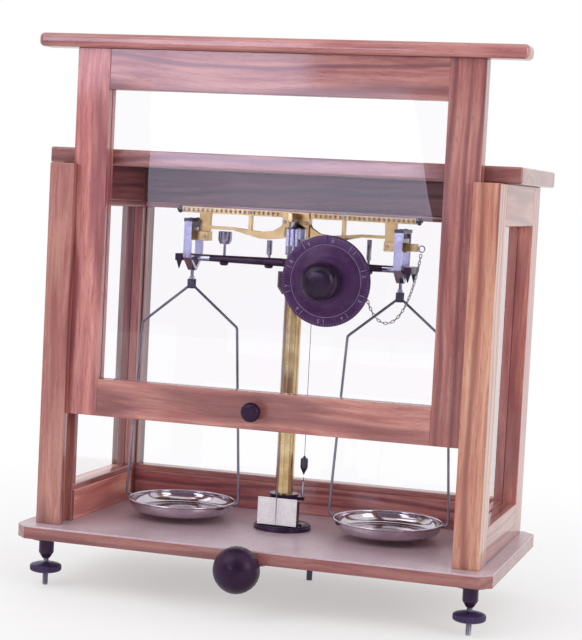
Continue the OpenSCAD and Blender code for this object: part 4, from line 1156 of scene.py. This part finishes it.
class BALANCE_OT_dial(bpy.types.Operator):
    """The black dial with its light divisions and numbers, and the round knob on it"""

    bl_idname = "balance.dial"
    bl_label = "Dial"

    def execute(self, context):
        look = context.scene.balance_dial
        low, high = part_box("dial")
        middle = (low + high) / 2
        r = (high.x - low.x) / MM / 2
        face = Vector((middle.x, high.y - 3.5 * MM, middle.z))
        band = r * 0.8
        profile = [(0, -3.5), (r - 0.8, -3.5), (r, -2.7), (r, -0.9), (r - 0.3, -0.25), (r - 0.9, 0), (band + 0.3, 0),
                   (band, -0.5), (band - 0.7, -0.6), (band - 1.1, 0.1)]
        for i in range(1, 9):
            f = i / 8
            profile.append((band - 1.1 + (18 - band + 1.1) * f, 0.1 + 4.9 * math.sin(f * QUARTER) ** 1.3))
        profile += [(0, 5)]
        disc = turned("dial_disc", profile, face, "-Y", 128)
        hand_over(disc, enamel("dial enamel", 0.2, 0.12, tone("40224C"), tone("4E305A")), "dial", "black_enamel",
                  "dial")
        marks = []
        lift = 0.06 * MM
        for count, inner, outer, half in ((look.parts, band + 0.9, r - 0.9, 0.2),
                                          (look.parts * 10, r - 2.6, r - 0.9, 0.1)):
            tick = block("tick", Vector((face.x - half * MM, face.y - lift, face.z + inner * MM)),
                         Vector((face.x + half * MM, face.y + lift, face.z + outer * MM)))
            edit(tick)
            bpy.ops.mesh.select_all(action="SELECT")
            bpy.ops.mesh.spin(steps=count, dupli=True, angle=math.tau, center=face, axis=(0, 1, 0))
            bpy.ops.object.mode_set(mode="OBJECT")
            marks.append(tick)
        ring = turned("ring", [(band - 0.5, -0.62), (band - 0.5, -0.3), (band - 0.1, -0.3), (band - 0.1, -0.62),
                               (band - 0.5, -0.62)], face, "-Y", 128)
        marks.append(ring)
        for number in range(look.parts):
            only(None)
            bpy.ops.object.text_add(radius=look.figure * 1.35 * MM)
            bpy.context.object.data.body = str(number)
            bpy.context.object.data.align_x = "CENTER"
            bpy.context.object.data.align_y = "CENTER"
            bpy.context.object.data.extrude = lift
            bpy.context.object.data.resolution_u = 3
            bpy.ops.object.convert(target="MESH")
            figure = named("figure")
            turn = math.tau * (number + 0.22) / look.parts
            out = Matrix.Translation((0, 0, (band + 3.0) * MM))
            figure.matrix_world = (Matrix.Translation(face) @ Matrix.Rotation(turn, 4, "Y") @ out
                                   @ Matrix.Rotation(QUARTER, 4, "X"))
            settle(figure)
            tidy(figure, False)
            marks.append(figure)
        hand_over(joined("dial_figures", marks), paint("dial filling", tone("8A7A98"), tone("A898B4")), "dial",
                  "white_plate")
        knob_low, knob_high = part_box("dial_knob")
        kr, length = (knob_high.x - knob_low.x) / MM / 2, (knob_high.y - knob_low.y) / MM
        foot = Vector((middle.x, knob_high.y, middle.z))
        dome = kr * 0.55
        grip = [(2.95, 0), (kr - 2.0, 0), (kr - 1.6, 0.8), (kr - 1.8, 1.8), (kr - 0.5, 2.8), (kr, 4.4),
                (kr, length - dome)]
        grip += arc(kr - dome, length - dome, dome, 8, 78, 9)
        grip += [(kr * 0.3, length - 0.05), (0, length), (0, 8), (2.95, 8), (2.95, 0)]
        knob = turned("knob_of_dial", grip, foot, "-Y", 96)
        hand_over(knob, enamel("dial knob enamel", 0.2, 0.2, tone("1B0F20"), tone("2A1A30")), "dial", "black_knob",
                  "dial_knob")
        return {"FINISHED"}


class BALANCE_OT_drum(bpy.types.Operator):
    """The brass drum behind the dial and the black bracket that carries both"""

    bl_idname = "balance.drum"
    bl_label = "Drum and bracket"

    def execute(self, context):
        hand_over(worked("dial_drum", "drum_wheel", 0.3), brass("Y"), "dial", "gilt_brass", "dial_drum")
        hand_over(worked("dial_bracket", "bracket_casting", 0.6, 3), enamel(), "case", "black_enamel",
                  "dial_bracket")
        return {"FINISHED"}


class BALANCE_OT_chain(bpy.types.Operator):
    """The fine chain from the drum to the hook on the beam, each link turned a quarter against the last"""

    bl_idname = "balance.chain"
    bl_label = "Chain"

    def execute(self, context):
        start_x, rise_from, depth_from = 68.0, 219.0, 84.0
        end_x, rise_to, depth_to = 110.3, 245.0, 108.0
        bend, radius, centre_x = 8.35, 30.0, 38.0
        span, rise = end_x - start_x, rise_to - rise_from
        low_x = start_x + span / 2 - bend * math.asinh(rise / (2 * bend * math.sinh(span / (2 * bend))))
        low_z = rise_from - bend * (math.cosh((start_x - low_x) / bend) - 1)
        s0, s1 = (bend * math.sinh((x - low_x) / bend) for x in (start_x, end_x))
        pitch = 3.4 - 0.45
        hanging = round((s1 - s0) / pitch)
        wound = math.floor(radius * math.pi * 0.55 / pitch)
        step = (s1 - s0) / hanging

        def on_chain(s):
            if s < 0:
                a = -s / radius
                return at(centre_x + radius * math.cos(a), depth_from, rise_from + radius * math.sin(a))
            q, f = (s0 + s) / bend, s / (s1 - s0)
            return at(low_x + bend * math.asinh(q), depth_from + (depth_to - depth_from) * f * f * (3 - 2 * f),
                      low_z + bend * (math.sqrt(1 + q * q) - 1))

        only(None)
        bpy.ops.mesh.primitive_torus_add(major_radius=0.94 * MM, minor_radius=0.36 * MM, major_segments=14,
                                         minor_segments=7, rotation=(QUARTER, 0, 0))
        link = named("link")
        settle(link)
        for way in (-1, 1):
            edit(link)
            pick(link, lambda v: v.co.z * way > 1e-7, "verts")
            bpy.ops.transform.translate(value=(0, 0, way * 0.82 * MM))
            bpy.ops.object.mode_set(mode="OBJECT")
        links = []
        for i in range(-wound, hanging):
            a, b = on_chain(i * step), on_chain((i + 1) * step)
            way = b - a
            turn = way.to_track_quat("Z", "Y").to_matrix().to_4x4()
            links.append(copied(link, "link", Matrix.Translation((a + b) / 2) @ turn
                                @ Matrix.Rotation(QUARTER * (i % 2), 4, "Z")))
        bpy.data.objects.remove(link)
        hand_over(joined("chain_links", links), grey_nickel(), "beam", "nickel", "chain", angle=60)
        return {"FINISHED"}


class BALANCE_OT_plumb(bpy.types.Operator):
    """The plumb bob on its thin line"""

    bl_idname = "balance.plumb"
    bl_label = "Plumb bob"

    def execute(self, context):
        low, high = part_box("plumb_bob")
        middle = (low + high) / 2
        r, length = (high.x - low.x) / MM / 2, (high.z - low.z) / MM
        line_r = 0.25
        profile = [(0, 0), (0.2, 0), (r * 0.55, 3.4), (r * 0.95, 6.0), (r, 6.6), (r, 13.4), (r * 0.86, 14.4),
                   (r * 0.4, 15.0), (r * 0.34, 16.2), (line_r, 16.6), (line_r, length), (0, length)]
        bob = turned("bob_on_line", profile, Vector((middle.x, middle.y, low.z)), "Z", 40)
        hand_over(bob, dark_steel("Z"), "plumb", "gilt_brass", "plumb_bob")
        point = [(0, 0), (1.0, 0), (1.0, 11), (0.7, 13), (0, 13.4)]
        hand_over(turned("fixed_point", point, at(17, 108, 29.5), "Z", 24), nickel(), "case", "nickel")
        return {"FINISHED"}


class BALANCE_OT_stage(bpy.types.Operator):
    """The pale floor, the lamps, the even light and the camera"""

    bl_idname = "balance.stage"
    bl_label = "Stage"

    def execute(self, context):
        look = context.scene.balance_stage
        only(None)
        bpy.ops.mesh.primitive_circle_add(vertices=96, radius=6.0, fill_type="NGON")
        floor = named("floor")
        material, t, out = new_material("pale floor")
        place = t.add("TexCoord").outputs["Object"]
        distance = t.add("VectorMath", {"operation": "LENGTH"}, i0=place).outputs["Value"]
        far = t.ramp(distance, [(0.1, 0.45), (0.75, 1.0)])
        body = t.add("BsdfPrincipled", Base_Color=tuple(look.floor) + (1,), Roughness=0.7)
        light = t.add("LightPath").outputs
        seen = t.math("MAXIMUM", t.math("MAXIMUM", light["Is Camera Ray"], light["Is Glossy Ray"]),
                      light["Is Transmission Ray"])
        white = t.add("Emission", Color=(1, 1, 1, 1), Strength=1.0)
        mixed = t.add("MixShader", i0=t.math("MULTIPLY", far, seen), i1=body.outputs[0], i2=white.outputs[0])
        t.tree.links.new(mixed.outputs[0], out.inputs[0])
        floor.data.materials.append(material)

        world = context.scene.world or bpy.data.worlds.new("World")
        context.scene.world = world
        world.use_nodes = True
        world.node_tree.nodes.clear()
        t = Tree(world.node_tree)
        light = t.add("LightPath").outputs
        seen = t.math("MAXIMUM", t.math("MAXIMUM", light["Is Camera Ray"], light["Is Glossy Ray"]),
                      light["Is Transmission Ray"])
        even = t.add("Background", Color=(1, 1, 1, 1), Strength=look.sky)
        white = t.add("Background", Color=(1, 1, 1, 1), Strength=1.0)
        mixed = t.add("MixShader", i0=seen, i1=even.outputs[0], i2=white.outputs[0])
        t.tree.links.new(mixed.outputs[0], t.add("OutputWorld").inputs[0])

        for name, middle, size, colour, strength in (
                ("dark_room", (0, -2.6, 0.9), (8, 3, 1), (0.9, 0.75, 1.0), look.gloom),
                ("soft_window", (-0.7585, -2.55, 0.4325), (0.677, 0.265, 1), (0.74, 0.76, 1.0), look.window),
                ("high_window", (-1.11, -2.55, 0.757), (0.78, 0.386, 1), (0.74, 0.76, 1.0), look.window)):
            only(None)
            bpy.ops.mesh.primitive_plane_add(size=1.0, location=middle, rotation=(QUARTER, 0, 0))
            card = named(name)
            card.scale = size
            settle(card)
            if name == "soft_window":
                edit(card)
                bpy.ops.mesh.select_all(action="SELECT")
                bpy.ops.mesh.bisect(plane_co=(-0.42, -2.55, 0.3), plane_no=(0.97, 0, 0.24), clear_outer=True)
                bpy.ops.object.mode_set(mode="OBJECT")
            material, t, out = new_material(name)
            glow = t.add("Emission", Color=colour + (1,), Strength=strength)
            t.tree.links.new(glow.outputs[0], out.inputs[0])
            card.data.materials.append(material)
            card.visible_camera = card.visible_diffuse = card.visible_transmission = card.visible_shadow = False

        target = Vector((0, 0, 0.2))
        for name, place, size, power in (("key", Vector((-1.0, -1.3, 1.35)), 1.4, look.key),
                                         ("side", Vector((1.4, -0.8, 0.75)), 0.8, look.fill)):
            bpy.ops.object.light_add(type="AREA", location=place)
            lamp = bpy.context.object
            lamp.name = name + "_lamp"
            lamp.data.shape = "SQUARE"
            lamp.data.size = size
            lamp.data.energy = power
            lamp.rotation_mode = "QUATERNION"
            lamp.rotation_quaternion = (target - place).to_track_quat("-Z", "Y")

        yaw, pitch, roll = 0.2959, 0.0699, -0.0504
        ahead = Vector((-math.sin(yaw) * math.cos(pitch), math.cos(yaw) * math.cos(pitch), -math.sin(pitch)))
        right = Vector((math.cos(yaw), math.sin(yaw), 0))
        up = right.cross(ahead)
        across = right * math.cos(roll) - up * math.sin(roll)
        upward = right * math.sin(roll) + up * math.cos(roll)
        bpy.ops.object.camera_add()
        camera = bpy.context.object
        spot = at(453.27, -1383.81, 290.99)
        camera.matrix_world = Matrix(((across.x, upward.x, -ahead.x, spot.x), (across.y, upward.y, -ahead.y, spot.y),
                                      (across.z, upward.z, -ahead.z, spot.z), (0, 0, 0, 1)))
        camera.data.sensor_width = 36.0
        camera.data.lens = 1808.63 * 36.0 / 640
        camera.data.clip_start, camera.data.clip_end = 0.05, 50.0
        context.scene.camera = camera
        context.scene.view_settings.view_transform = "Standard"
        return {"FINISHED"}


SETTINGS = {"balance_timber": TimberSettings, "balance_metals": MetalSettings, "balance_glass": GlassSettings,
            "balance_dial": DialSettings, "balance_stage": StageSettings}
STEPS = (BALANCE_OT_base, BALANCE_OT_posts, BALANCE_OT_rails, BALANCE_OT_top_board, BALANCE_OT_panes,
         BALANCE_OT_sash, BALANCE_OT_sash_knob, BALANCE_OT_feet, BALANCE_OT_arrest_knob, BALANCE_OT_arrest_gear,
         BALANCE_OT_arrest_arm, BALANCE_OT_column, BALANCE_OT_scale_plate, BALANCE_OT_beam, BALANCE_OT_pointer,
         BALANCE_OT_stirrups, BALANCE_OT_bows, BALANCE_OT_pans, BALANCE_OT_dial, BALANCE_OT_drum,
         BALANCE_OT_chain, BALANCE_OT_plumb, BALANCE_OT_stage)


class BALANCE_PT_panel(bpy.types.Panel):
    """Lists the settings and the steps of the balance"""

    bl_idname = "BALANCE_PT_panel"
    bl_label = "Two Pan Balance"
    bl_space_type = "VIEW_3D"
    bl_region_type = "UI"
    bl_category = "Balance"

    def draw(self, context):
        for name, settings in SETTINGS.items():
            box = self.layout.box()
            for field in settings.__annotations__:
                box.prop(getattr(context.scene, name), field)
        for step in STEPS:
            self.layout.operator(step.bl_idname)


def register():
    for settings in SETTINGS.values():
        bpy.utils.register_class(settings)
    for step in STEPS + (BALANCE_PT_panel,):
        bpy.utils.register_class(step)
    for name, settings in SETTINGS.items():
        setattr(bpy.types.Scene, name, PointerProperty(type=settings))


def unregister():
    for name in SETTINGS:
        delattr(bpy.types.Scene, name)
    for step in reversed(STEPS + (BALANCE_PT_panel,)):
        bpy.utils.unregister_class(step)
    for settings in reversed(list(SETTINGS.values())):
        bpy.utils.unregister_class(settings)


def main():
    register()
    for step in STEPS:
        group, name = step.bl_idname.split(".")
        if getattr(getattr(bpy.ops, group), name)() != {"FINISHED"}:
            raise RuntimeError(step.bl_label + " wasn't finished")


if __name__ == "__main__":
    main()
